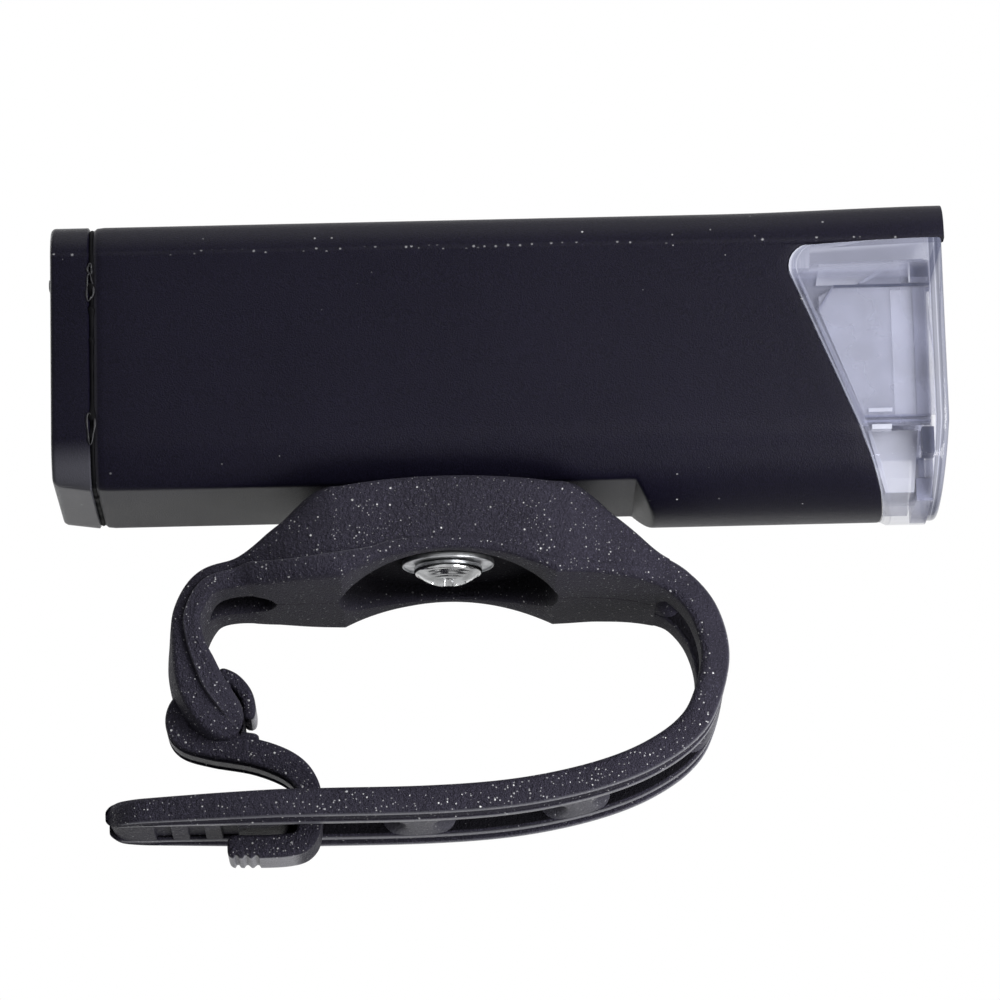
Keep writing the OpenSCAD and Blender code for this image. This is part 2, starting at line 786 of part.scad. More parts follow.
module charging_socket() {
    color([0.78, 0.78, 0.8])
    union() {
        difference() {
            mid_block(socket_x, socket_z - socket_h / 2, socket_l, socket_w, socket_h);
            mid_block(socket_x - 1, socket_z - socket_h / 2 + socket_shell, socket_l,
                socket_w - 2 * socket_shell, socket_h - 2 * socket_shell);
        }
        mid_block(socket_x + 1, socket_z - tongue_t / 2, socket_l - 1, socket_w - 4 * socket_shell, tongue_t);
    }
}

// Swivel

module thread_insert() {
    color([0.8, 0.65, 0.3])
    translate([0, 0, insert_z])
        difference() {
            cylinder(d = insert_d, h = insert_l);
            translate([0, 0, -1]) cylinder(d = bush_bore_d, h = insert_l + 2);
        }
}

module mount_screw() {
    dome_h = head_h - head_edge;
    dome_r = head_d * head_d / 8 / dome_h + dome_h / 2;
    color([0.85, 0.85, 0.87])
    difference() {
        union() {
            translate([0, 0, washer_z - eps]) cylinder(d = screw_d, h = insert_z + insert_l - washer_z);
            intersection() {
                translate([0, 0, head_z]) cylinder(d = head_d, h = head_h);
                translate([0, 0, head_z + dome_r]) sphere(r = dome_r);
            }
        }
        for (turn = [0, 90])
            rotate([0, 0, turn]) mid_block(-cross_l / 2, head_z - 1, cross_l, cross_w, cross_h + 1);
    }
}

module mount_washer() {
    color([0.8, 0.8, 0.82])
    translate([0, 0, washer_z])
        difference() {
            cylinder(d = washer_d, h = washer_t);
            translate([0, 0, -1]) cylinder(d = bush_bore_d, h = washer_t + 2);
        }
}

module swivel_bush() {
    color([0.2, 0.2, 0.22])
    translate([0, 0, seat_z])
        difference() {
            cylinder(d = bush_d, h = bush_l);
            translate([0, 0, -1]) cylinder(d = bush_bore_d, h = bush_l + 2);
        }
}

// Strap

// Half width of the strap seen from above, from the saddle to the arms
module strap_plan() {
    wide = saddle_top_l / 2 + 1;
    slim = bend_x - 3;
    corners = [[-slim - past, strap_w / 2, 0], [-slim, strap_w / 2, 6], [-wide, saddle_w / 2, 8],
        [wide, saddle_w / 2, 8], [slim, strap_w / 2, 6], [slim + past, strap_w / 2, 0]];
    upper = outline(concat(corners, [[slim + past, 0, 0], [-slim - past, 0, 0]]));
    for (side = [0, 1])
        mirror([0, side, 0])
        translate([0, 0, -past])
        linear_extrude(2 * past)
        polygon(upper);
}

// Outline of the tail seen from above
module tail_plan() {
    far = bend_x + past;
    linear_extrude(2 * past, center = true)
        polygon(outline([[far, -strap_w / 2, 0], [far, strap_w / 2, 0], [-taper_x, strap_w / 2, 0],
            [-tail_tip, tip_w / 2, tip_r], [-tail_tip, -tip_w / 2, tip_r], [-taper_x, -strap_w / 2, 0]]));
}

// Outline of the rear arm seen from behind
module arm_front() {
    from = rise(0.74);
    to = rise(0.27);
    beam_bar(-past, 0, outline([[-past, past, 0], [-past, from, 0], [-strap_w / 2, from, 0],
        [-arm_tip_w / 2, to, tip_r], [arm_tip_w / 2, to, tip_r], [strap_w / 2, from, 0], [past, from, 0],
        [past, past, 0]]));
}

// Places of the slots along the strap, one pitch apart from the one that holds the hook
slot_first = strap_lengths[run_station(strap_path, -hook_x - hook_t / 2 - slot_end_gap)] - slot_l / 2;
function slot_station(k) = station(strap_lengths, slot_first - k * slot_pitch);

module strap_slots(count_from, count_to) {
    for (k = [count_from : count_to]) {
        i = slot_station(k);
        h = heading(strap_path, i);
        band_slot(strap_path[i], atan2(h[1], h[0]), slot_l, slot_w, 3 * strap_t);
    }
}

module strap_saddle() {
    top = flat_z - turn_gap;
    arm_slot = round(1.2 * curve_steps);
    arm_heading = heading(arm_path, arm_slot);
    color([0.2, 0.2, 0.21])
    difference() {
        intersection() {
            union() {
                side_plate(saddle_w, outline([[-saddle_foot_l / 2, foot_z, 1], [saddle_foot_l / 2, foot_z, 1],
                    [saddle_top_l / 2 + waist_l, crown_z + waist_h, 6], [saddle_top_l / 2, top, 2.5],
                    [-saddle_top_l / 2, top, 2.5], [-saddle_top_l / 2 - waist_l, crown_z + waist_h, 6]]));
                intersection() {
                    side_plate(saddle_w, band(arm_path, 0, arm_end));
                    arm_front();
                }
                side_plate(saddle_w, band(strap_path, 0, bend_from));
            }
            strap_plan();
        }
        // Seat on the handlebar
        translate([0, past, crown_z - seat_r])
            rotate([90, 0, 0])
            cylinder(r = seat_r, h = 2 * past);
        // Recess round the washer
        translate([0, 0, crown_z - past])
            cylinder(d = recess_d, h = seat_z - crown_z + past + turn_gap / 2);
        cylinder(d = bush_d + 2 * run_fit, h = past);
        strap_slots(3, 3);
        band_slot(arm_path[arm_slot], atan2(arm_heading[1], arm_heading[0]), arm_slot_l, slot_w, 3 * strap_t);
        // Way through the arm for the hook
        side_plate(slot_w, band(hook_path, 0, 6 * curve_steps, hook_gap));
        side_plate(slot_w, band(anchor_path, 0, len(anchor_path) - 1, hook_gap));
    }
}

module strap_bend() {
    color([0.22, 0.22, 0.23])
    difference() {
        side_plate(strap_w, band(strap_path, bend_from, bend_to));
        strap_slots(3, 3);
    }
}

module strap_tail() {
    tip_low = run_z - strap_t / 2;
    color([0.2, 0.2, 0.21])
    difference() {
        intersection() {
            side_plate(strap_w, band(strap_path, bend_to, strap_end));
            tail_plan();
        }
        strap_slots(0, 2);
        side_plate(slot_w, skin(strap_path, bend_to, strap_end - curve_steps, channel_h));
        // Grip notches under the tip
        for (k = [0 : grip_count - 1])
            mid_block(grip_start - tail_tip + k * grip_step, tip_low - past,
                grip_w, grip_l, past + grip_h);
    }
}

module strap_hook() {
    color([0.18, 0.18, 0.19])
    union() {
        side_plate(hook_w, band(hook_path, 0, hook_end));
        side_plate(hook_w, band(anchor_path, 0, len(anchor_path) - 1));
    }
}

housing();
front_lens();
beam_optic();
led_emitter();
led_board();
heat_sink();
rear_cap();
rear_seal();
port_cover();
power_button();
push_switch();
charge_light();
control_board();
charging_socket();
board_screws();
battery_cell();
battery_tabs();
battery_tray();
thread_insert();
mount_screw();
mount_washer();
swivel_bush();
strap_saddle();
strap_bend();
strap_tail();
strap_hook();
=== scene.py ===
"""Looks of a bicycle headlight on a rubber handlebar strap.

Shapes are worked out in millimetres in the frame of the part: +X along the beam, +Y along the handlebar and
+Z up.
"""
import math

import bmesh
import bpy
import numpy as np
from bpy.props import FloatProperty, FloatVectorProperty, PointerProperty
from mathutils import Matrix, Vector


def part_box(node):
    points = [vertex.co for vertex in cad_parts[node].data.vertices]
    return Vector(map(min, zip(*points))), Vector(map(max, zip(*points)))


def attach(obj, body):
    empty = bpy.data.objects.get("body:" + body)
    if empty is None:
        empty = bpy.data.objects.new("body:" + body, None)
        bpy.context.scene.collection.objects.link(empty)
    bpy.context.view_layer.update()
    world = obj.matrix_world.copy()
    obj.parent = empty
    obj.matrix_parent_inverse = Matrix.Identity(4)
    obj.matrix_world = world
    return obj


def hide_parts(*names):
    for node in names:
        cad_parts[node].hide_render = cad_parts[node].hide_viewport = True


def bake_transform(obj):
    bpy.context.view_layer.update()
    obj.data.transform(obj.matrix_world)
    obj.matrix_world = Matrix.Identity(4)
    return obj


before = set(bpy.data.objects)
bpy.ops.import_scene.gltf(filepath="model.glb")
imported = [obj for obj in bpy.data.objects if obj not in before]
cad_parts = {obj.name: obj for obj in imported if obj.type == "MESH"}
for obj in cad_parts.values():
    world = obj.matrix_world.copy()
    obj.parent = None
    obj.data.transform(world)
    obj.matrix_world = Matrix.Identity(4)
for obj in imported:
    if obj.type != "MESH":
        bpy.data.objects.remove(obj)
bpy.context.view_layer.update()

bl_info = {
    "name": "Strap-on Bicycle Headlight",
    "version": (1, 0, 0),
    "blender": (4, 5, 0),
    "location": "View3D > Sidebar > Headlight",
    "description": "Dresses a bicycle headlight and its rubber handlebar strap",
    "category": "Add Mesh",
}

# Metres in a millimetre, the span within which points merge, and the angle of a sharp edge in degrees
MM = 0.001
MERGE = 2e-7
SHARP = 38


def node_box(node):
    """Lowest and highest corner of a CAD node in millimetres."""
    low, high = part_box(node)
    return np.array(low) / MM, np.array(high) / MM


HOUSING_LOW, HOUSING_HIGH = node_box("housing")
CAP_LOW = node_box("rear_cap")[0]
SCREW_LOW = node_box("mount_screw")[0]
WASHER_LOW, WASHER_HIGH = node_box("mount_washer")
BUTTON_LOW, BUTTON_HIGH = node_box("power_button")
FLAP_LOW, FLAP_HIGH = node_box("port_cover")
SADDLE_TOP = node_box("strap_saddle")[1][2]


def length(name, description, default_mm):
    """Length property whose default is given in millimetres."""
    return FloatProperty(name=name, description=description, default=default_mm * MM, min=0, precision=4,
                         unit="LENGTH")


def angle(name, description, default_degrees):
    """Angle property whose default is given in degrees."""
    return FloatProperty(name=name, description=description, default=math.radians(default_degrees),
                         subtype="ANGLE")


def colour(name, description, default):
    """Colour property with three channels."""
    return FloatVectorProperty(name=name, description=description, default=default, subtype="COLOR", size=3,
                               min=0, max=1)


def share(name, description, default):
    """Property from 0 to 1."""
    return FloatProperty(name=name, description=description, default=default, min=0, max=1,
                         subtype="FACTOR")


class HousingSettings(bpy.types.PropertyGroup):
    wall: length("Wall", "Thickness of the tube", 1.6)
    belly: length("Belly", "Depth of the round belly below the widest line", 7.6)
    lean: length("Lean", "How far each side leans inwards up to the top", 0.9)
    top_radius: length("Top radius", "Radius of the top corners", 4)
    edge: length("Edge", "Rounding of the moulded edges", 0.3)
    tint: colour("Colour", "Colour of the moulded plastic", (0.0034, 0.003, 0.007))
    grain: length("Grain", "Size of the fine grain", 0.16)


class LensSettings(bpy.types.PropertyGroup):
    wall: length("Wall", "Thickness of the clear wall", 1.9)
    front_radius: length("Front radius", "Rounding of the front edge", 0.5)
    tint: colour("Colour", "Tint of the clear plastic", (0.25, 0.26, 0.37))
    cover: share("Cover", "How much one face hides of what is behind it", 0.05)


class RubberSettings(bpy.types.PropertyGroup):
    edge: length("Edge", "Rounding of the moulded edges", 0.7)
    groove: length("Groove", "Depth of the groove along the rims", 0.42)
    tint: colour("Colour", "Colour of the rubber", (0.013, 0.012, 0.0185))
    pebble: length("Pebble", "Size of the pebbled grain", 0.36)
    dust: share("Dust", "Share of the surface cells that hold a grain of dust", 0.7)


class MetalSettings(bpy.types.PropertyGroup):
    chrome: colour("Chrome", "Colour of the screw", (0.7, 0.71, 0.72))
    steel: colour("Steel", "Colour of the washer", (0.62, 0.63, 0.65))


class StageSettings(bpy.types.PropertyGroup):
    distance: length("Distance", "Camera to the middle of the part", 600)
    elevation: angle("Elevation", "Height of the camera above the part, below it if negative", -13.2)
    yaw: angle("Yaw", "Turn of the camera towards the front of the part", 0.7)
    roll: angle("Roll", "Tilt of the picture", 1.46)
    ambient: share("Ambient", "Strength of the light from all sides", 0.43)
    floor_drop: length("Floor", "Floor below the axis of the handlebar", 750)


class HeadlightSettings(bpy.types.PropertyGroup):
    housing: PointerProperty(type=HousingSettings)
    lens: PointerProperty(type=LensSettings)
    rubber: PointerProperty(type=RubberSettings)
    metal: PointerProperty(type=MetalSettings)
    stage: PointerProperty(type=StageSettings)


# Surfaces


def grid_quads(rows, cols, wrap_rows=False, wrap_cols=False):
    """Quads of a grid of points, from each point to the next along rows and columns; wrapped ones close."""
    r, c = np.meshgrid(np.arange(rows if wrap_rows else rows - 1),
                       np.arange(cols if wrap_cols else cols - 1), indexing="ij")
    r2 = (r + 1) % rows
    c2 = (c + 1) % cols
    return np.stack([r * cols + c, r2 * cols + c, r2 * cols + c2, r * cols + c2], -1).reshape(-1, 4)


def tube(rings):
    """Closed skin over rings of points: quads from ring to ring and a flat face on both ends."""
    n, m = rings.shape[:2]
    caps = [np.arange(m).tolist(), (np.arange(m) + (n - 1) * m).tolist()]
    return rings.reshape(-1, 3), grid_quads(n, m, wrap_cols=True).tolist() + caps


def torus(rings):
    """Closed skin over rings that come back to the first one."""
    n, m = rings.shape[:2]
    return rings.reshape(-1, 3), grid_quads(n, m, wrap_rows=True, wrap_cols=True).tolist()


def lathe(radius, height, count=72):
    """Rings about the Z axis: radius and height along a profile, turned through a full circle."""
    turn = np.linspace(0, 2 * np.pi, count, endpoint=False)
    return np.stack(np.broadcast_arrays(radius[:, None] * np.cos(turn), radius[:, None] * np.sin(turn),
                                        height[:, None]), -1)


def smoothstep(x, low, high):
    """Rises from 0 at low to 1 at high along a cubic with level ends."""
    t = np.clip((x - low) / (high - low), 0, 1)
    return t * t * (3 - 2 * t)


def soft_max(a, b, blend):
    """Larger of two values, with the corner between them rounded over a length."""
    gap = np.maximum(blend - np.abs(a - b), 0) / blend
    return np.maximum(a, b) + gap * gap * blend / 4


def spline(points, steps=24):
    """Smooth curve through points: each stretch is a cubic with end slopes of half its neighbours' span."""
    p = np.asarray(points, float)
    before = np.concatenate([p[:1], p[:-2]])
    after = np.concatenate([p[2:], p[-1:]])
    t = np.linspace(0, 1, steps, endpoint=False)[None, :, None]
    a, b, c, d = before[:, None], p[:-1, None], p[1:, None], after[:, None]
    part = 0.5 * (2 * b + (c - a) * t + (2 * a - 5 * b + 4 * c - d) * t ** 2
                  + (3 * b - a - 3 * c + d) * t ** 3)
    return np.concatenate([part.reshape(-1, p.shape[1]), p[-1:]])


class Path:
    """Side-view curve of [x, z, thickness], read by the length along it."""

    slope_reach = 0.4

    def __init__(self, points):
        self.points = spline(points)
        step = np.diff(self.points[:, :2], axis=0)
        self.lengths = np.concatenate([[0], np.cumsum(np.hypot(step[:, 0], step[:, 1]))])
        self.end = self.lengths[-1]

    def read(self, s, column):
        """One column of the points at lengths s."""
        return np.interp(s, self.lengths, self.points[:, column])

    def at(self, s):
        """Place, normal to the left of the way along, and thickness at lengths s."""
        s = np.asarray(s, float)
        x, z, t = (self.read(s, column) for column in range(3))
        ahead = np.minimum(s + self.slope_reach, self.end)
        behind = np.maximum(s - self.slope_reach, 0)
        dx, dz = (self.read(ahead, column) - self.read(behind, column) for column in range(2))
        size = np.hypot(dx, dz)
        return np.stack([x, z], -1), np.stack([-dz / size, dx / size], -1), t

    def at_x(self, x):
        """Length at which the curve first passes a place along X."""
        side = np.sign(self.points[:, 0] - x)
        return self.lengths[np.nonzero(side != side[0])[0][0]]


def whole_ring(half_ring):
    """Rings from half rings that start and end on the middle plane: the other half is the mirror image."""
    other = half_ring[:, 1:-1][:, ::-1] * np.array([1, -1, 1])
    return np.concatenate([half_ring, other], 1)


def whole_values(values):
    """Values along a half ring carried on round the mirrored half."""
    return np.concatenate([values, values[1:-1][::-1]])


def corner(radius, start, count=5):
    """Quarter of a circle as offsets from the corner of a box, starting at a given angle in degrees."""
    t = np.radians(start + np.linspace(0, 90, count))
    return radius * np.cos(t), radius * np.sin(t)


def piece(name, skins, finish, body, node=None, sharp=SHARP, values=None):
    """Mesh object from skins of points in millimetres, shaded smooth up to an angle.

    Doubles are merged and normals point outwards. It rides on a body, replaces a node and takes a slot,
    each if given.
    """
    points = np.concatenate([s[0] for s in skins])
    starts = np.cumsum([0] + [len(s[0]) for s in skins])
    faces = [[i + start for i in face] for (_, part), start in zip(skins, starts) for face in part]
    mesh = bpy.data.meshes.new(name)
    mesh.from_pydata((points * MM).tolist(), [], faces)
    for key, value in (values or {}).items():
        mesh.attributes.new(key, "FLOAT", "POINT").data.foreach_set("value", np.asarray(value, np.float32))
    bm = bmesh.new()
    bm.from_mesh(mesh)
    bmesh.ops.remove_doubles(bm, verts=bm.verts, dist=MERGE)
    bmesh.ops.dissolve_degenerate(bm, edges=bm.edges, dist=MERGE)
    bmesh.ops.recalc_face_normals(bm, faces=bm.faces)
    bm.to_mesh(mesh)
    bm.free()
    mesh.shade_smooth()
    mesh.set_sharp_from_angle(angle=math.radians(sharp))
    mesh.materials.append(finish)
    obj = bpy.data.objects.new(name, mesh)
    bpy.context.scene.collection.objects.link(obj)
    if body:
        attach(obj, body)
    if node:
        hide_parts(*([node] if isinstance(node, str) else node))
    return obj


# Shader expressions


class Wire:
    """A shader socket that takes part in expressions: each operation adds a Math node."""

    def __init__(self, finish, socket):
        self.finish = finish
        self.socket = socket

    def math(self, operation, *values):
        return self.finish.node("ShaderNodeMath", {"operation": operation}, *values)

    def __add__(self, other):
        return self.math("ADD", self, other)

    def __radd__(self, other):
        return self.math("ADD", other, self)

    def __sub__(self, other):
        return self.math("SUBTRACT", self, other)

    def __rsub__(self, other):
        return self.math("SUBTRACT", other, self)

    def __mul__(self, other):
        return self.math("MULTIPLY", self, other)

    def __rmul__(self, other):
        return self.math("MULTIPLY", other, self)

    def __lt__(self, other):
        return self.math("LESS_THAN", self, other)

    def __abs__(self):
        return self.math("ABSOLUTE", self)

    def ramp(self, low, high):
        """0 at low, 1 at high and a level-ended cubic between them."""
        return self.finish.node("ShaderNodeMapRange", {"interpolation_type": "SMOOTHSTEP"}, self, low, high,
                                0.0, 1.0)


class Finish:
    """One material: its nodes are added by expressions and end in a Principled shader."""

    def __init__(self, name, **constants):
        self.material = bpy.data.materials.new(name)
        self.material.use_nodes = True
        self.tree = self.material.node_tree
        self.shader = self.tree.nodes["Principled BSDF"]
        coordinate = self.tree.nodes.new("ShaderNodeTexCoord")
        self.place = Wire(self, coordinate.outputs["Object"])
        self.put(**constants)

    def link(self, socket, value):
        """Links a wire to a socket, or sets the socket to a plain value."""
        if isinstance(value, Wire):
            self.tree.links.new(value.socket, socket)
        elif value is not None:
            socket.default_value = value

    def node(self, kind, settings=None, *values, out=0, **named):
        """Node of a type with its settings set first, then the values or links of its sockets."""
        node = self.tree.nodes.new(kind)
        for key, value in (settings or {}).items():
            setattr(node, key, value)
        for socket, value in zip(node.inputs, values):
            self.link(socket, value)
        for key, value in named.items():
            self.link(node.inputs[key.replace("_", " ")], value)
        return Wire(self, node.outputs[out])

    def mix(self, factor, a, b):
        """Colour that goes from a to b with a factor."""
        node = self.tree.nodes.new("ShaderNodeMix")
        node.data_type = "RGBA"
        self.link(node.inputs[0], factor)
        self.link(node.inputs[6], a if isinstance(a, Wire) else (*a, 1))
        self.link(node.inputs[7], b if isinstance(b, Wire) else (*b, 1))
        return Wire(self, node.outputs[2])

    def noise(self, size_mm, detail=2.0, rough=0.5):
        """Cloudy value whose lumps are about a size across."""
        return self.node("ShaderNodeTexNoise", None, Vector=self.place, Scale=1 / (size_mm * MM),
                         Detail=detail, Roughness=rough)

    def axis(self, index):
        """Place along one axis in millimetres."""
        return self.node("ShaderNodeSeparateXYZ", None, self.place, out=index) * (1 / MM)

    def value(self, name):
        """Value stored on the points of the mesh."""
        return self.node("ShaderNodeAttribute", {"attribute_name": name}, out=2)

    def dust(self, cell_mm, amount, size_mm):
        """Specks: a share of cells of a size holds one grain, whose radius and paleness differ by cell."""
        cells = self.tree.nodes.new("ShaderNodeTexVoronoi")
        self.link(cells.inputs["Vector"], self.place)
        cells.inputs["Scale"].default_value = 1 / (cell_mm * MM)
        lot = self.tree.nodes.new("ShaderNodeSeparateColor")
        self.tree.links.new(cells.outputs["Color"], lot.inputs[0])
        far = Wire(self, cells.outputs["Distance"]) * cell_mm
        radius = Wire(self, lot.outputs[1]) * size_mm
        held = Wire(self, lot.outputs[0]) < amount
        pale = 0.3 + 0.7 * Wire(self, lot.outputs[2])
        return (radius - far).ramp(0.0, 0.5 * size_mm) * held * pale

    def bump(self, height, depth_mm):
        """Normal of a relief whose height of 1 is a depth."""
        return self.node("ShaderNodeBump", None, Height=height, Distance=depth_mm * MM, Strength=1.0)

    def put(self, **sockets):
        """Values or wires for sockets of the shader."""
        for key, value in sockets.items():
            if isinstance(value, tuple) and len(value) == 3:
                value = (*value, 1)
            self.link(self.shader.inputs[key.replace("_", " ")], value)


def dye(tint, gain=1.0):
    """Tint times a gain, with each channel up to 1."""
    return tuple(min(1.0, gain * c) for c in tint)


def housing_finish(look, name="moulded_black", rough=0.3, film=0.0):
    """Matte black plastic: fine grain, slow changes of tone, a dusty moulding line under the top and dust.

    The edge at the seam gets a painted highlight, and the lowest part may be painted paler as painted light
    from below.
    """
    # Height of the dusty moulding line, and heights over which the painted light from below fades out
    mould_line, underside_low, underside_high = 43.4, 21.5, 24.6
    f = Finish(name, Specular_IOR_Level=0.055)
    tone = f.noise(14, 3)
    grain = f.noise(look.grain / MM, 3, 0.7)
    line = 1 - abs(f.axis(2) - mould_line).ramp(0.05, 0.3)
    specks = f.dust(1.4, 0.5, 0.18)
    lint = f.dust(0.6, 0.45, 0.22) * line
    base = f.mix(0.3 * tone + 0.7 * grain.ramp(0.32, 0.68), dye(look.tint, 0.4), dye(look.tint, 1.7))
    # Painted light from below: the lowest part is mixed paler by the film share, standing in for light
    # reflected up from the floor.
    dusty = f.mix(film * (1 - f.axis(2).ramp(underside_low, underside_high)), base, (0.06, 0.06, 0.07))
    # Painted highlight: a pale line along the edge at the seam, where the rounding catches light.
    seam_highlight = 1 - abs(f.axis(0) - HOUSING_LOW[0]).ramp(0.1, 0.4)
    # Real specks, lint and moulding-line dust, plus the painted seam highlight.
    dust_and_seam_highlight = specks * 0.8 + lint * 0.8 + 0.006 * line + 0.05 * seam_highlight
    f.put(Base_Color=f.mix(dust_and_seam_highlight, dusty, (0.3, 0.3, 0.31)))
    f.put(Roughness=rough + 0.12 * tone + 0.3 * specks)
    f.put(Normal=f.bump(grain + 0.3 * line + specks, 0.05))
    return f.material


def rubber_finish(look, name="dusty_rubber"):
    """Dusty rubber: pebbled grain, pale specks, smoother faces, painted highlights on edges, painted shade
    in pits.
    """
    f = Finish(name, Specular_IOR_Level=0.065)
    painted_light = f.value("painted_light")
    pebble = f.noise(look.pebble / MM, 2, 0.5)
    fine = f.noise(look.pebble / MM / 2.6, 2)
    tone = f.noise(7, 3, 0.6)
    specks = f.dust(0.8, 0.7 * look.dust, 0.17)
    powder = f.dust(0.32, look.dust, 0.11)
    base = f.mix(tone.ramp(0.3, 0.7), dye(look.tint, 0.8), dye(look.tint, 1.1))
    grainy = f.mix(fine.ramp(0.5, 0.75), base, dye(look.tint, 2.4))
    # Painted shade: negative values darken pits, the recess, the small grooves and the slot walls.
    deep = (0 - painted_light).ramp(0.0, 1.0)
    # Painted highlight: values above 0.8 pale the edges and faces that catch light; higher values are also
    # smoother.
    pale = f.mix(0.5 * (painted_light - 0.8).ramp(0.0, 1.2), grainy, (0.2, 0.2, 0.225))
    shady = f.mix(deep, pale, dye(look.tint, 0.25))
    f.put(Base_Color=f.mix((specks + powder * 0.6) * (1 - 0.8 * deep), shady, (0.5, 0.5, 0.51)))
    f.put(Roughness=0.6 + 0.14 * tone + 0.2 * specks - 0.2 * painted_light)
    f.put(Normal=f.bump((pebble + 0.6 * fine + 0.3 * specks) * (1 - 0.45 * painted_light), 0.36))
    return f.material


def clear_finish(look, name, cover, rough=0.05):
    """Clear plastic: each face hides a little of what is behind it.

    Edges get painted highlights, painted shade darkens some lines and bands, and some faces are cloudy.
    """
    f = Finish(name, IOR=1.49, Specular_IOR_Level=0.25)
    rim = f.value("rim")
    painted_dark = f.value("painted_dark")
    hide = f.value("hide")
    haze = f.noise(4, 3)
    clear = f.mix(haze.ramp(0.3, 0.7), dye(look.tint, 0.85), dye(look.tint, 1.15))
    cloudy = f.mix(hide, clear, (0.148, 0.153, 0.196))
    # Painted highlight: the rim share mixes in a pale colour on edges and on faces painted as lit.
    painted_highlight = f.mix(rim, cloudy, (0.43, 0.44, 0.48))
    # Painted shade: the dark share mixes in a near-black colour for dark lines and bands.
    f.put(Base_Color=f.mix(painted_dark, painted_highlight, (0.012, 0.015, 0.03)))
    f.put(Roughness=rough + 0.06 * haze)
    f.put(Alpha=cover + 0.1 * (haze - 0.5) + 0.65 * rim + 0.9 * painted_dark + 0.6 * hide)
    return f.material


def plain_finish(name, tint, rough, metal=0.0, size_mm=1.5, depth_mm=0.01, spread=0.12, specular=0.5):
    """Moulded, turned or plated surface: a tint that varies a little and a faint relief of that grain."""
    f = Finish(name, Metallic=metal, Specular_IOR_Level=specular)
    tone = f.noise(size_mm, 3)
    f.put(Base_Color=f.mix(tone, dye(tint, 1 - spread), dye(tint, 1 + spread)))
    f.put(Roughness=rough + 0.12 * tone)
    f.put(Normal=f.bump(tone, depth_mm))
    return f.material


def metal_finish(name, tint, rough, ring_mm):
    """Plated metal: turned rings about the screw axis, stains of tone and a bright, uneven gloss."""
    f = Finish(name, Metallic=1.0)
    flat = f.node("ShaderNodeVectorMath", {"operation": "MULTIPLY"}, f.place, (1 / MM, 1 / MM, 0))
    across = f.node("ShaderNodeVectorMath", {"operation": "LENGTH"}, flat, out=1)
    rings = f.node("ShaderNodeMath", {"operation": "SINE"}, across * (2 * math.pi / ring_mm))
    stain = f.noise(1.2, 3)
    f.put(Base_Color=f.mix(stain.ramp(0.35, 0.7), dye(tint), dye(tint, 0.6)))
    f.put(Roughness=rough + 0.18 * stain)
    f.put(Normal=f.bump(0.4 * rings + stain, 0.02))
    return f.material


def floor_finish():
    """Pale paper near white: it glows for the camera, through clear plastic and, less, in reflections."""
    f = Finish("floor_paper", Emission_Strength=1.0)
    tone = f.noise(60, 3)
    camera, mirrored, through = (f.node("ShaderNodeLightPath", out="Is " + kind + " Ray")
                                 for kind in ("Camera", "Glossy", "Transmission"))
    glow = (camera + 0.3 * mirrored + through).ramp(0, 1)
    f.put(Base_Color=f.mix(tone, (0.76, 0.76, 0.76), (0.78, 0.78, 0.78)))
    f.put(Roughness=0.7 + 0.1 * tone)
    f.put(Emission_Color=f.mix(glow, (0, 0, 0), (0.62, 0.62, 0.62)))
    return f.material


# Housing


# Slope at the front end of the mounting flat, and the rounding between flat and belly
RAMP_X = np.array([18.7, 20.7])
RAMP_Z = np.array([19.8, 17.0])
SOFT = 0.35


class Section:
    """Half section of the tube, from the middle of the belly up to the middle of the top.

    It is a quarter ellipse, a straight side that leans in, a corner arc and the flat top. A place on it
    is a stretch number plus a share of that stretch, so that sections of other insets keep in step.
    """

    def __init__(self, look, inset=0.0):
        self.half = HOUSING_HIGH[1] - inset
        self.deep = look.belly / MM - inset
        self.crease = HOUSING_LOW[2] + look.belly / MM
        top = np.array([HOUSING_HIGH[1] - look.lean / MM - inset, HOUSING_HIGH[2] - inset])
        radius = look.top_radius / MM - inset
        foot = np.array([self.half, self.crease])
        up = (foot - top) / np.linalg.norm(foot - top)
        half = np.arccos(-up[0]) / 2
        self.side = np.stack([foot, top + up * radius / np.tan(half)])
        between = (up + [-1, 0]) / np.linalg.norm(up + [-1, 0])
        self.centre = top + between * radius / np.sin(half)
        self.radius = radius
        start = self.side[1] - self.centre
        self.turn = np.array([np.arctan2(start[1], start[0]), np.pi / 2])
        self.top = np.array([self.centre[0], top[1]])

    def at(self, place):
        """Points [y, z] at places from 0 to 4."""
        p = np.asarray(place, float)
        f = np.clip(p, 0, 1) * np.pi / 2
        belly = np.stack([self.half * np.sin(f), self.crease - self.deep * np.cos(f)], -1)
        f = np.clip(p - 1, 0, 1)[..., None]
        side = self.side[0] * (1 - f) + self.side[1] * f
        f = np.clip(p - 2, 0, 1)
        t = self.turn[0] * (1 - f) + self.turn[1] * f
        arc = self.centre + self.radius * np.stack([np.cos(t), np.sin(t)], -1)
        f = np.clip(p - 3, 0, 1)[..., None]
        roof = self.top * (1 - f) + np.array([0, self.top[1]]) * f
        index = np.clip(p, 0, 3.999).astype(int)[..., None]
        return np.select([index == 0, index == 1, index == 2], [belly, side, arc], roof)

    def place_of(self, z):
        """Place at a height on the leaning side."""
        return 1 + (np.asarray(z, float) - self.side[0, 1]) / (self.side[1, 1] - self.side[0, 1])


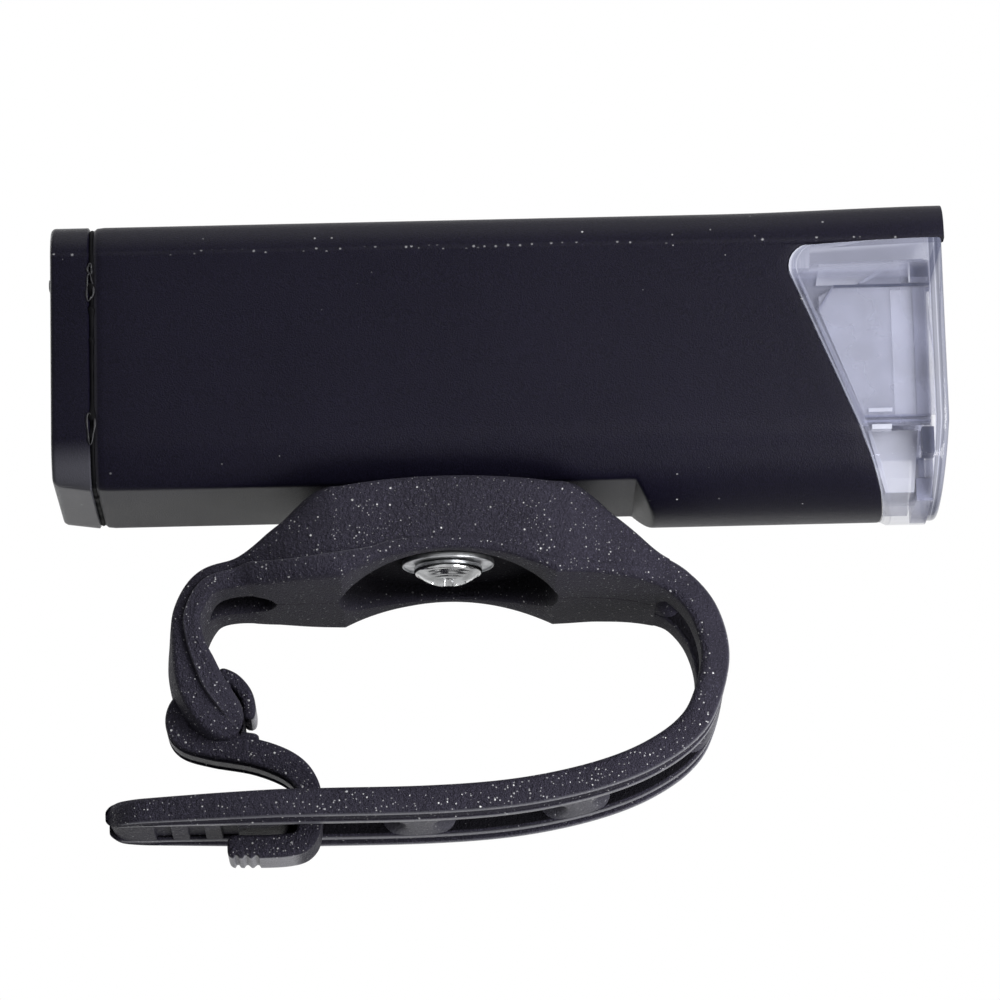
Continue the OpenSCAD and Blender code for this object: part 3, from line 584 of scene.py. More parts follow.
class Window:
    """Side view of the lens window: a sloped rear edge bent at the widest line, a round upper corner."""

    top = np.array([33.3, 42.7])
    mid = np.array([40.5, 24.7])
    low = np.array([43.4, 17.1])
    rise = 0.055
    radius = 2.3

    def __init__(self):
        forward = np.array([1, self.rise]) / np.hypot(1, self.rise)
        down = (self.mid - self.top) / np.linalg.norm(self.mid - self.top)
        half = np.arccos(forward @ down) / 2
        between = (forward + down) / np.linalg.norm(forward + down)
        self.centre = self.top + between * self.radius / np.sin(half)
        self.rear = self.top + down * self.radius / np.tan(half)
        self.front = self.top + forward * self.radius / np.tan(half)

    def edge(self, z):
        """X of the rear edge at a height: two straight stretches and the corner arc."""
        corners = np.stack([self.low, self.mid, self.top])
        straight = np.interp(z, corners[:, 1], corners[:, 0])
        lift = np.clip(z - self.centre[1], -self.radius, self.radius)
        arc = self.centre[0] - np.sqrt(self.radius ** 2 - lift ** 2)
        return np.where(z > self.rear[1], arc, straight)

    def roof(self, x):
        """Height of the top edge, level behind the corner arc."""
        return self.top[1] + self.rise * (np.maximum(x, self.front[0]) - self.top[0])


def tube_rows(section, window):
    """Places of the rows round half of the tube: those up to the window's roof, and those above it."""
    belly = np.linspace(0, 1, 29)[:-1]
    side = section.place_of(np.linspace(section.crease, window.rear[1], 12)[:-1])
    lift = np.radians(np.linspace(-20.5, 89.5, 16))
    arc = section.place_of(np.minimum(window.centre[1] + window.radius * np.sin(lift), window.front[1]))
    lower = np.concatenate([belly, side, arc])
    upper = np.concatenate([[1.97, 1.985], np.linspace(2, 3, 14), np.linspace(3, 4, 7)[1:]])
    return lower, upper


def mirror_rows(half):
    """Full rings from half rings whose first and last rows lie on the middle plane."""
    other = half[::-1][1:-1] * np.array([1, -1, 1])
    return np.concatenate([half, other])


def housing_skin(look):
    """Shell of the housing as one closed grid.

    Rows run round the section. Columns run along the outside from the seam to the window or the visor tip,
    round the edge, and back along the inside. At the mounting flat the height is the larger of the section
    and the floor, with the corner rounded, and the visor's top rises a little towards its tip.
    """
    outer, inner = Section(look), Section(look, look.wall / MM)
    window = Window()
    lower, upper = tube_rows(outer, window)
    count = len(lower)
    place = np.concatenate([lower, upper])
    edge, lip = look.edge / MM, 0.45 * look.edge / MM
    seam, tip = HOUSING_LOW[0], HOUSING_HIGH[0]
    front = np.concatenate([window.edge(outer.at(lower)[:, 1]), np.full(len(upper), tip)])
    split = 25.0
    back = np.concatenate([[0, 0.3, 1], np.linspace(4, 52, 9), np.linspace(53, 56, 14),
                           [57, 58, split - seam]])
    ahead = np.linspace(0, 1, 9)[1:]
    x = np.concatenate([np.broadcast_to(seam + back, (len(place), len(back))),
                        split + (front[:, None] - lip - split) * ahead,
                        front[:, None] - lip * np.array([0.6, 0.2, 0.0])], 1)
    inset = np.concatenate([[edge, 0.25 * edge], np.zeros(x.shape[1] - 5),
                            lip * np.array([0.08, 0.4, 1.0])])
    rows = np.broadcast_to(place[:, None], x.shape)
    roof = outer.place_of(window.roof(x))
    first = np.arange(len(place))[:, None] == count
    second = np.arange(len(place))[:, None] == count + 1
    rows = np.where(first, roof, np.where(second, (roof + 2) / 2, rows))
    skin = outer.at(rows)
    core = inner.at(rows)
    full = look.wall / MM
    yz = skin + (core - skin) * (inset / full)[None, :, None]
    floor = np.interp(x, RAMP_X, RAMP_Z)
    flare = 0.4 * smoothstep(x, 28, 50) * smoothstep(rows, 1.97, 2.3)
    outside = np.stack([x, yz[..., 0], soft_max(yz[..., 1], floor + inset, SOFT) + flare], -1)
    x_in = x[:, ::-1]
    core = core[:, ::-1]
    ceiling = np.where(x_in < 36, HOUSING_HIGH[2] - full, window.roof(x_in))
    floor_in = np.interp(x_in, RAMP_X + [-full, full], RAMP_Z) + full
    inside = np.stack([x_in, core[..., 0], np.minimum(np.maximum(core[..., 1], floor_in), ceiling)], -1)
    return torus(mirror_rows(np.concatenate([outside, inside], 1)))


def pill_ring(length_mm, width_mm, count=24):
    """Outline of a pill: two half circles joined by straight sides."""
    t = np.linspace(-np.pi / 2, np.pi / 2, count)
    x = (length_mm - width_mm) / 2 + width_mm / 2 * np.cos(t)
    y = width_mm / 2 * np.sin(t)
    return np.concatenate([np.stack([x, y], -1), -np.stack([x, y], -1)])


def cut(obj, cutters):
    """Takes closed cutter meshes out of a piece and removes them."""
    for cutter in cutters:
        change = obj.modifiers.new("cut", "BOOLEAN")
        change.operation = "DIFFERENCE"
        change.solver = "EXACT"
        change.object = cutter
    view = bpy.context.evaluated_depsgraph_get()
    mesh = bpy.data.meshes.new_from_object(obj.evaluated_get(view))
    obj.modifiers.clear()
    old = obj.data
    obj.data = mesh
    bpy.data.meshes.remove(old)
    for cutter in cutters:
        bpy.data.objects.remove(cutter)
    mesh.set_sharp_from_angle(angle=math.radians(SHARP))


def settings(context):
    """Settings of the headlight in the current scene."""
    return context.scene.headlight


def refinish(node, finish):
    """Gives a node of the frame another material in each of its slots."""
    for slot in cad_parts[node].material_slots:
        slot.material = finish


class HEADLIGHT_OT_housing(bpy.types.Operator):
    """Moulded tube with the visor, the mounting flat and the holes for the button and the charge light"""

    bl_idname = "headlight.housing"
    bl_label = "Housing"

    def execute(self, context):
        look = settings(context).housing
        shell = piece("housing_shell", [housing_skin(look)], housing_finish(look), None, sharp=40)
        middle = (BUTTON_LOW + BUTTON_HIGH) / 2
        top = HOUSING_HIGH[2]
        button = pill_ring(13.5, 8.5)
        lamp_low, lamp_high = node_box("charge_light")
        lamp = pill_ring(2.5, 2.4999)
        cutters = []
        for name, ring, x in [("a", button, middle[0]), ("b", lamp, (lamp_low[0] + lamp_high[0]) / 2)]:
            flat = np.concatenate([ring + [x, 0], np.zeros((len(ring), 1))], 1)
            skin = tube(np.stack([flat + [0, 0, top - 3], flat + [0, 0, top + 2]]))
            cutters.append(piece("cutter_" + name, [skin], shell.active_material, None))
        cut(shell, cutters)
        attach(shell, "light")
        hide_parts("housing")
        return {"FINISHED"}


# Rear end


def polar(outline, centre, turn):
    """Outline read from a centre: its distance at each angle."""
    d = outline - centre
    angle = np.arctan2(d[:, 1], d[:, 0])
    order = np.argsort(angle)
    return np.interp(turn, angle[order], np.hypot(d[:, 0], d[:, 1])[order], period=2 * np.pi)


def box_outline(width, height, radius, count=10):
    """Outline of a rectangle with round corners."""
    t = np.linspace(0, np.pi / 2, count)
    arc = radius * np.stack([np.cos(t), np.sin(t)], -1)
    one = arc + [width / 2 - radius, height / 2 - radius]
    quarter = np.concatenate([[[width / 2, 0]], one, [[0, height / 2]]])
    half = np.concatenate([quarter, quarter[::-1] * [-1, 1]])
    sides = np.concatenate([half, half[::-1] * [1, -1]])
    steps = np.linspace(0, len(sides) - 1, 6 * len(sides))
    return np.stack([np.interp(steps, np.arange(len(sides)), sides[:, k]) for k in range(2)], -1)


def tube_outline(look, inset, floor):
    """Whole outline of the tube's section at an inset, with the belly cut off at a floor."""
    half = Section(look, inset).at(np.linspace(0, 4, 500))
    half[:, 1] = soft_max(half[:, 1], floor + inset, SOFT)
    return np.concatenate([half, half[::-1] * [-1, 1]])


def cap_skin(look):
    """Rear cap as rings about the port, from the seam over the rear edge to the pocket and its hole."""
    middle = np.array([0, (FLAP_LOW[2] + FLAP_HIGH[2]) / 2])
    turn = np.linspace(-np.pi, np.pi, 240, endpoint=False)
    rear, front = CAP_LOW[0], HOUSING_LOW[0] - 0.45
    flat = CAP_LOW[2]
    rim = 0.5
    roll = np.radians(np.linspace(0, 90, 6))
    rings = [(front, 2.4, flat), (front, 0.2, flat), (front - 0.15, 0.0, flat)]
    rings += [(rear + rim, 0.0, flat + 0.55)]
    rings += [(rear + rim * (1 - np.sin(a)), rim * (1 - np.cos(a)), flat + 0.6) for a in roll[1:]]
    rings += [(rear, 1.6, flat + 0.6)]
    outline = [polar(tube_outline(look, inset, floor), middle, turn) for _, inset, floor in rings]
    x = [r[0] for r in rings]
    pocket = box_outline(FLAP_HIGH[1] * 2 + 0.5, FLAP_HIGH[2] - FLAP_LOW[2] + 0.5, 1.2)
    hole = box_outline(8.9, 3.2, 1.5)
    zero = np.zeros(2)
    bottom, end = rear + 1.25, front - 0.2
    for place, shape in [(rear, pocket * 1.012), (rear + 0.15, pocket), (bottom, pocket),
                         (bottom, hole * 1.04), (rear + 1.4, hole), (end, hole), (end, hole * 0.02)]:
        outline.append(polar(shape, zero, turn))
        x.append(place)
    r = np.array(outline)
    x = np.broadcast_to(np.array(x)[:, None], r.shape)
    return tube(np.stack([x, r * np.cos(turn), middle[1] + r * np.sin(turn)], -1))


def seal_skin(look):
    """Seal in the seam: a ring of small round section that swells out where it was squeezed."""
    middle = np.array([0, 33.0])
    turn = np.linspace(-np.pi, np.pi, 900, endpoint=False)
    edge = polar(tube_outline(look, 0, CAP_LOW[2]), middle, turn)
    spots = np.array([2.55, 2.72, 3.0, -2.62, -2.5, 0.35, 0.6, -0.5, 1.3, -1.9])
    sizes = np.array([0.5, 0.42, 0.25, 0.5, 0.36, 0.4, 0.3, 0.45, 0.2, 0.22])
    gap = np.angle(np.exp(1j * (turn[:, None] - spots)))
    swell = (sizes * np.exp(-(gap / 0.035) ** 2)).sum(1) + 0.08 * np.sin(23 * turn) * np.sin(7 * turn + 1)
    around = np.linspace(0, 2 * np.pi, 12, endpoint=False)
    wide = 0.26 + 0.25 * np.maximum(swell, 0)
    x = HOUSING_LOW[0] - 0.225 + wide[:, None] * np.cos(around)
    r = (edge - 0.55 + swell)[:, None] + 0.3 * np.sin(around)
    y = r * np.cos(turn)[:, None]
    z = middle[1] + r * np.sin(turn)[:, None]
    return torus(np.stack([x, y, z], -1))


def seal_bits(look):
    """Thin loops of squeezed-out seal: small tubes round slim, uneven ovals on both sides of the seam."""
    t = np.linspace(0, 2 * np.pi, 60, endpoint=False)[:, None]
    around = np.linspace(0, 2 * np.pi, 8, endpoint=False)
    section = Section(look)
    skins = []
    for side, height, tall, wide in [(-1, 39.9, 1.3, 0.32), (-1, 25.6, 1.5, 0.36), (-1, 41.9, 0.5, 0.2),
                                     (1, 34.2, 1.2, 0.3)]:
        grow = 1 + 0.18 * np.sin(3 * t + height)
        ring = 0.1 * (1 + 0.3 * np.sin(5 * t + height))
        z = height + (tall * grow + ring * np.cos(around)) * np.sin(t)
        x = HOUSING_LOW[0] - 0.35 + (wide * grow + ring * np.cos(around)) * np.cos(t)
        y = side * (section.at(section.place_of(z))[..., 0] + 0.02 + ring * np.sin(around))
        skins.append(torus(np.stack([x, y, z], -1)))
    return skins


def flap_skin():
    """Port flap: round-cornered plate with softened edges and a finger lip near its upper edge."""
    middle = (FLAP_LOW[2] + FLAP_HIGH[2]) / 2
    width, height = 2 * FLAP_HIGH[1], FLAP_HIGH[2] - FLAP_LOW[2]
    back, face = FLAP_HIGH[0], FLAP_HIGH[0] - 1
    plate = [(back, 0.92), (back, 0.985), (back - 0.15, 1), (face + 0.25, 1), (face + 0.08, 0.985),
             (face, 0.95), (face, 0.7), (face, 0.3), (face, 0.02)]
    lip = [(face + 0.1, 1), (face - 0.4, 1), (face - 0.55, 0.94), (face - 0.6, 0.8)]
    skins = []
    for steps, wide, tall, radius, level in [(plate, width, height, 1.1, middle),
                                             (lip, width / 2, 1.0, 0.45, FLAP_HIGH[2] - 0.5)]:
        rings = []
        for x, grow in steps:
            flat = box_outline(wide * grow, tall * grow, radius * grow)
            rings.append(np.stack([np.full(len(flat), x), flat[:, 0], level + flat[:, 1]], -1))
        skins.append(tube(np.array(rings)))
    return skins


class HEADLIGHT_OT_rear_end(bpy.types.Operator):
    """Rear cap, the squeezed seal in its seam and the flap over the charging port"""

    bl_idname = "headlight.rear_end"
    bl_label = "Rear end"

    def execute(self, context):
        look = settings(context).housing
        # The cap's lowest part is painted paler (film), as painted light from below.
        cap = housing_finish(look, "cap_black", rough=0.2, film=0.55)
        piece("rear_cap_shell", [cap_skin(look)], cap, "light", "rear_cap")
        seal = plain_finish("seal_rubber", (0.002, 0.002, 0.0025), 0.5, size_mm=0.6, depth_mm=0.05,
                            specular=0.03)
        piece("rear_seal_bead", [seal_skin(look)], seal, "light", "rear_seal")
        film = plain_finish("seal_film", (0.009, 0.009, 0.011), 0.4, size_mm=0.6, depth_mm=0.02,
                            specular=0.2)
        piece("rear_seal_loops", seal_bits(look), film, "light")
        flap = plain_finish("flap_rubber", (0.014, 0.014, 0.0155), 0.6, size_mm=0.4, depth_mm=0.03,
                            specular=0.3)
        piece("port_flap_plate", flap_skin(), flap, "port_flap", "port_cover")
        return {"FINISHED"}


class HEADLIGHT_OT_top_controls(bpy.types.Operator):
    """Soft power button and the charge light beside it"""

    bl_idname = "headlight.top_controls"
    bl_label = "Button and charge light"

    def execute(self, context):
        middle = (BUTTON_LOW + BUTTON_HIGH) / 2
        low, high = BUTTON_LOW[2], BUTTON_HIGH[2]
        dish = high - 0.25
        rings = []
        for z, grow in [(low, 1.8), (low + 0.6, 1.8), (low + 0.6, 0), (high - 0.45, 0), (high - 0.2, -0.12),
                        (high - 0.05, -0.4), (high, -0.9), (high, -2.2), (dish, -2.6), (dish, -5),
                        (dish, -7.9)]:
            flat = pill_ring(13 + grow, 8 + grow)
            rings.append(np.concatenate([flat + [middle[0], 0], np.full((len(flat), 1), z)], 1))
        rubber = plain_finish("button_rubber", (0.045, 0.045, 0.05), 0.55, size_mm=0.35, depth_mm=0.03,
                              specular=0.3)
        pad = tube(np.array(rings))
        piece("power_button_pad", [pad], rubber, "button", "power_button")
        pipe = plain_finish("light_pipe", (0.7, 0.76, 0.7), 0.2, size_mm=0.8, depth_mm=0.005)
        refinish("charge_light", pipe)
        return {"FINISHED"}


# Lens and optics


def lens_skin(look, tube_look):
    """Clear shell in the window, as one closed grid, and its painted highlights and shade.

    Columns run from the window's edge to the front, over its rounding, and to its middle. Rows run round
    the belly and the sides up to the window's roof and across it. The inside is the same grid one wall
    further in. Each point also has its shares of painted highlight, painted shade and cloud.
    """
    window = Window()
    gap, inset_out, front_wall = 0.1, 0.02, 1.05
    outer_section = Section(tube_look, inset_out)
    lower, _ = tube_rows(outer_section, window)
    wall, round_r = look.wall / MM, look.front_radius / MM
    tip = HOUSING_HIGH[0] - 0.3
    roof_rows = np.linspace(0, 1, 9)[1:]
    z_side = outer_section.at(lower)[:, 1]
    start = np.concatenate([window.edge(z_side) + gap, np.full(len(roof_rows), window.front[0] + gap)])
    lead = np.array([0, 0.16, 0.28, 0.62, 0.74, 0.86, 1.6])
    along = np.linspace(0, 1, 9)[1:]
    lines = np.array([0.1, 0.2, 0.35, 0.55, 0.65, 0.75, 0.95])
    roll = np.radians(np.linspace(0, 90, 7))[1:]
    base = smoothstep(0.42 - lower, 0, 0.3)

    def shell(inset, front):
        """Rings at an inset whose front face lies at a place along X."""
        section = Section(tube_look, inset_out + inset)
        side = section.at(lower)
        end = front - round_r
        bound = end - lines[-1]
        first = start[:, None] + lead
        rest = first[:, -1:] + (bound - first[:, -1:]) * along
        x = np.concatenate([first, rest, np.broadcast_to(bound + lines, (len(first), len(lines)))], 1)
        near = x[:len(lower)]
        arc = np.clip((side[:, 1] - window.rear[1]) / (window.front[1] - window.rear[1]), 0, 1)[:, None]
        rim_top = window.roof(near)
        z = np.minimum(side[:, 1:] + arc * (rim_top - window.front[1]), rim_top - gap - inset)
        yz = np.where(arc[..., None] > 0, section.at(section.place_of(z)), side[:, None])
        sink = smoothstep(near - near[:, :1], 0, 0.8) * (1 - 1.2 * smoothstep(near, bound, bound + 0.15))
        yz[..., 1] -= 0.35 * base[:, None] * sink
        top = window.roof(x[-1]) - gap - inset
        roof_y = yz[-1, :, 0][None] * (1 - roof_rows[:, None])
        roof = np.stack([roof_y, np.broadcast_to(top, roof_y.shape)], -1)
        body = np.concatenate([x[..., None], np.concatenate([yz, roof])], -1)
        last = body[:, -1, 1:]
        middle = np.array([0, 31.0])
        shrink = np.concatenate([round_r * (1 - np.cos(roll)), [1.1, 2.4, 6, 30]])
        reach = np.linalg.norm(last - middle, axis=-1)
        keep = np.maximum(1 - shrink / reach[:, None], 0)
        face_x = np.concatenate([end + round_r * np.sin(roll), np.full(4, front)])
        face = np.concatenate([np.broadcast_to(face_x[:, None], keep.shape + (1,)),
                               middle + (last - middle)[:, None] * keep[..., None]], -1)
        rings = np.concatenate([body, face], 1)
        lean = 0.65 * np.clip((section.crease - rings[..., 2]) / section.deep, 0, 1)
        rings[..., 0] -= lean * smoothstep(rings[..., 0], bound - 1, end)
        return rings

    out = shell(0.0, tip)
    rings = mirror_rows(np.concatenate([out[:, ::-1], shell(wall, tip - front_wall)], 1))
    columns = np.zeros((3, 2, out.shape[1]))
    rim, painted_dark, hide = columns
    # Painted highlights: pale lines along some columns of the outer and the inner wall.
    rim[0, [0, 1, 2, 4, 15, 19]] = [0.45, 0.4, 0.1, 0.3, 0.3, 0.35]
    rim[1, [0, 1]] = [0.4, 0.2]
    # Painted shade: darker bands and lines on the wall towards its front.
    painted_dark[0, 14:22] = [0.15, 0.45, 0.85, 0.75, 0.75, 0.4, 0.78, 0.88]
    painted_dark[0, 22:31] = [0.75, 0.75, 0.75, 0.8, 0.8, 0.7, 0.5, 0.12, 0.02]
    painted_dark[0, 3] = 0.25
    rim, painted_dark, hide = (np.broadcast_to(np.concatenate([v[0, ::-1], v[1]]), rings.shape[:2]) for v in columns)
    # Painted light: the roof rows are painted pale and opaque, and the brow strip below them cloudy, so the
    # top reads evenly light though the visor shades it.
    roof = np.concatenate([np.zeros(len(lower) - 1), [0.4], np.ones(len(roof_rows))])
    none = np.zeros(len(roof_rows))
    base, brow, crown = (np.concatenate([side, none]) for side in
                         (base, smoothstep(z_side, 39.6, 40.2), smoothstep(z_side, 40.5, 40.9)))
    roof, base, brow, crown = (whole_values(v)[:, None] for v in (roof, base, brow, crown))
    wall_only = np.arange(out.shape[1]) < len(lead) + len(along) + len(lines)
    roof = roof * np.concatenate([wall_only[::-1], wall_only])
    brow = brow + (crown - brow) * smoothstep(rings[..., 0], 45.8, 46.4)
    rim = np.maximum(rim, np.maximum(0.9 * roof, 0.05 * brow))
    hide = np.maximum(np.maximum(hide, roof), np.maximum(0.3 * base, 0.8 * brow * (painted_dark < 0.25)))
    # Painted shade: a little of the dark share on the lowest rows, none on the roof.
    painted_dark = np.maximum(painted_dark * (1 - roof), 0.2 * base)
    skin = rings.reshape(-1, 3), grid_quads(*rings.shape[:2], wrap_rows=True).tolist()
    return skin, {"rim": rim.ravel(), "painted_dark": painted_dark.ravel(), "hide": hide.ravel()}


def prism_skin(outline, low, high, bevel):
    """Prism of a side-view outline between two planes across the beam, with bevelled edges on both."""
    flat = np.asarray(outline, float)
    middle = flat.mean(0)
    small = middle + (flat - middle) * (1 - bevel / np.linalg.norm(flat - middle, axis=1))[:, None]
    rings = np.stack([np.insert(p, 1, y, axis=1) for p, y in
                      [(small, low), (flat, low + bevel), (flat, high - bevel), (small, high)]])
    return tube(rings)


def box_outline_xz(x0, x1, z0, z1):
    """Side-view outline of a box."""
    return [[x1, z0], [x1, z1], [x0, z1], [x0, z0]]


def optic_skins():
    """Moulded beam block with its front flange, clips, light guides and lower panel, painted light and shade
    on each.

    Each entry is a side-view outline, where it starts and ends on both sides of the beam, and its shares of
    painted highlight, painted shade and cloud. An entry that starts at 0 is one solid across the beam.
    """
    reach = 8.45
    entries = [
        ([[48.1, 24.9], [48.1, 42.0], [37.0, 41.7], [35.4, 40.4], [41.3, 24.9]], 6.9, 7.2, 0.0, 0.0, 1.0),
        ([[48.1, 19.8], [48.1, 24.9], [41.4, 24.9], [43.2, 19.8]], 0, 4.8, 0.0, 0.0, 0.12),
        ([[48.1, 25.7], [48.1, 38.9], [39.0, 38.9], [37.4, 38.0], [37.4, 36.6], [41.5, 25.7]],
         0, 8.2, 0.05, 0.0, 0.0),
        (box_outline_xz(46.75, 48.55, 25.7, 38.7), 7.9, reach, 0.0, 0.12, 0.1),
        (box_outline_xz(44.6, 46.75, 25.7, 38.7), 7.3, 7.6, 0.13, 0.0, 0.0),
        (box_outline_xz(38.9, 48.5, 38.85, 39.1), 7.9, reach, 0.0, 1.0, 0.0),
        ([[37.3, 36.6], [37.5, 36.6], [39.1, 39.1], [38.9, 39.1]], 7.9, reach, 0.1, 0.5, 0.0),
        (box_outline_xz(41.5, 48.1, 25.5, 25.7), 7.9, reach, 0.0, 0.5, 0.0),
        (box_outline_xz(41.4, 48.1, 25.0, 25.2), 7.7, reach - 0.1, 0.0, 0.45, 0.0),
        (box_outline_xz(46.6, 48.4, 39.8, 41.3), 6.5, reach - 0.15, 0.0, 1.0, 0.0),
        (box_outline_xz(46.6, 48.4, 39.2, 39.8), 6.5, reach - 0.15, 0.0, 0.3, 0.2),
        (box_outline_xz(46.4, 46.6, 39.2, 41.3), 6.5, reach - 0.15, 0.5, 0.0, 0.0),
        ([[37.2, 39.3], [41.4, 39.3], [45.4, 41.5], [37.6, 41.5]], 7.3, 7.6, 0.6, 0.0, 0.2),
        (box_outline_xz(47.2, 48.4, 21.85, 24.6), 5.5, reach - 0.7, 0.0, 1.0, 0.0),
        (box_outline_xz(46.9, 48.4, 20.1, 21.8), 0, 5.0, 0.0, 0.1, 0.4),
        (box_outline_xz(46.6, 48.2, 17.7, 20.0), 0, 5.0, 0.0, 0.3, 0.4),
        ([[42.0, 24.9], [43.5, 18.5], [46.4, 18.5], [47.0, 24.9]], 0, 5.2, 0.32, 0.0, 0.0),
        # Two thin strips painted pale: painted glints on the lower block.
        (box_outline_xz(42.2, 44.2, 24.3, 24.8), 7.2, 8.3, 0.48, 0.0, 0.0),
        (box_outline_xz(41.9, 44.3, 26.0, 26.4), 7.9, reach + 0.05, 0.3, 0.0, 0.0),
        ([[41.4, 39.3], [41.7, 39.2], [45.6, 41.4], [45.3, 41.6]], 7.6, 8.3, 0.3, 0.1, 0.0)]
    skins, marks = [], {"rim": [], "painted_dark": [], "hide": []}
    for outline, inner, outer, painted_highlight, dark, cloudy in entries:
        spans = [(-outer, outer)] if inner == 0 else [(inner, outer), (-outer, -inner)]
        for low, high in spans:
            skins.append(prism_skin(outline, low, high, 0.15 if dark + painted_highlight == 0 else 0.04))
            count = len(outline)
            # Painted highlight along the bevelled edges of entries with no dark or cloud share.
            edge = np.repeat([0.35, 0.0, 0.0, 0.35], count) * (dark + cloudy == 0)
            marks["rim"].append(np.clip(painted_highlight + edge, 0, 1))
            marks["painted_dark"].append(np.full(4 * count, dark))
            marks["hide"].append(np.full(4 * count, cloudy))
    cone, count = collimator_skin()
    skins.append(cone)
    # The cone gets a faint painted highlight and a little cloud.
    for key, value in [("rim", 0.12), ("painted_dark", 0.0), ("hide", 0.2)]:
        marks[key].append(np.full(count, value))
    return skins, {key: np.concatenate(value) for key, value in marks.items()}


def collimator_skin():
    """Clear cone in front of the emitter: it widens towards the lens and has a bulge inside a front ring."""
    low, high = node_box("led_emitter")
    back, front = high[0] + 0.3, 47.0
    r = np.array([0.01, 3.1, 3.2, 6.4, 6.5, 6.3, 2.6, 2.4, 2.2, 1.6, 0.8, 0.01])
    x = np.concatenate([[back, back, back + 0.1],
                        front + np.array([-0.1, 0, 0.1, 0, -2, -2, -1.5, -1.2, -1.1])])
    rings = lathe(r, x)
    rings = np.stack([rings[..., 2], rings[..., 0], (low[2] + high[2]) / 2 + rings[..., 1]], -1)
    return tube(rings), rings.shape[0] * rings.shape[1]


class HEADLIGHT_OT_lens(bpy.types.Operator):
    """Clear lens, the moulded beam block behind it and its small light guides"""

    bl_idname = "headlight.lens"
    bl_label = "Lens and optics"

    def execute(self, context):
        look, tube_look = settings(context).lens, settings(context).housing
        skin, marks = lens_skin(look, tube_look)
        glass = clear_finish(look, "clear_lens_wall", look.cover)
        piece("front_lens_shell", [skin], glass, "light", "front_lens", values=marks)
        skins, marks = optic_skins()
        optic = clear_finish(look, "clear_optic_block", 0.08, rough=0.1)
        piece("beam_block", skins, optic, "light", "beam_optic", values=marks, sharp=20)
        return {"FINISHED"}


# Swivel


def screw_skin():
    """Pan head: a dome with a cross pressed into it, a straight rim and the top under the washer."""
    z0, z1 = SCREW_LOW[2], WASHER_LOW[2]
    radius, dome, ball, rows = 3.4, 3.05, 4.83, 34
    rim = np.radians(np.linspace(15, 90, 6))
    r = np.concatenate([np.linspace(0.001, dome, rows), dome + 0.35 * np.sin(rim)])
    z = z0 + ball - np.sqrt(ball ** 2 - np.minimum(r, dome) ** 2)
    z[rows:] += 0.4 * (1 - np.cos(rim))
    r = np.concatenate([r, [radius, 3.3, 2.0]])
    z = np.concatenate([z, [z1 - 0.1, z1, z1]])
    rings = lathe(r, z, 144)
    a, b = np.abs(rings[..., 0]), np.abs(rings[..., 1])
    wing, length = 0.52, 1.75
    cross = np.maximum(smoothstep(wing - a, 0, 0.16) * smoothstep(length - b, 0, 0.3),
                       smoothstep(wing - b, 0, 0.16) * smoothstep(length - a, 0, 0.3))
    fade = smoothstep(2.2 - np.hypot(a, b), 0, 1.4)
    on_dome = (np.arange(len(r)) < rows)[:, None]
    rings[..., 2] += cross * (0.55 + 0.45 * fade) * on_dome
    return tube(rings)


def washer_skin():
    """Flat ring with rounded edges: a small box with round corners, turned about the screw."""
    edge = 0.15
    outer, hole = 4.6 - edge, 2.1 + edge
    low, high = WASHER_LOW[2] + edge, WASHER_HIGH[2] - edge
    c, s = corner(edge, 0)
    r = np.concatenate([outer + s[::-1], outer + c, hole - s, hole - c[::-1]])
    z = np.concatenate([low - c[::-1], high + s, high + c, low - s[::-1]])
    return torus(lathe(r, z, 96))


class HEADLIGHT_OT_swivel(bpy.types.Operator):
    """Screw and washer that the light turns on"""

    bl_idname = "headlight.swivel"
    bl_label = "Swivel screw"

    def execute(self, context):
        look = settings(context).metal
        chrome = metal_finish("screw_chrome", look.chrome, 0.1, 0.4)
        steel = metal_finish("washer_steel", look.steel, 0.28, 0.25)
        piece("screw_head", [screw_skin()], chrome, "light", "mount_screw", sharp=50)
        piece("washer_ring", [washer_skin()], steel, "light", "mount_washer")
        return {"FINISHED"}


# Strap


# Heights of the strap's lower run and of the root of the arms
RUN, ROOT = -11.9, 11.4


def rise(share_up):
    """Height on the strap, from the lower run at 0 up to the root of the arms at 1."""
    return RUN + share_up * (ROOT - RUN)


def strap_path():
    """Middle line of the strap from the saddle round the bend to the tip, with its thickness."""
    return Path([[x, rise(f), t] for x, f, t in [
        (16, 1.02, 4.1), (19.8, 0.965, 3.2), (22.8, 0.9, 2.9), (25.1, 0.77, 2.9), (26, 0.585, 2.9),
        (24.8, 0.385, 2.9), (22.9, 0.27, 2.9), (19.6, 0.175, 2.9), (15.6, 0.105, 2.9), (10.4, 0.05, 2.9),
        (4.5, 0.015, 2.9), (-3, 0, 2.9), (-13, 0, 2.9), (-23, 0, 2.8), (-34.2, -0.005, 2.5)]])


def arm_path():
    """Middle line of the rear arm from the saddle down to its end, with its thickness."""
    return Path([[x, rise(f), t] for x, f, t in [
        (-16, 1.03, 5.1), (-20.4, 0.995, 3.1), (-23.9, 0.955, 2.9), (-25.8, 0.82, 2.9), (-25.7, 0.71, 3.2),
        (-25.2, 0.61, 4.2), (-24.2, 0.5, 4.7), (-22.3, 0.39, 4.3), (-20.9, 0.33, 2.0)]])


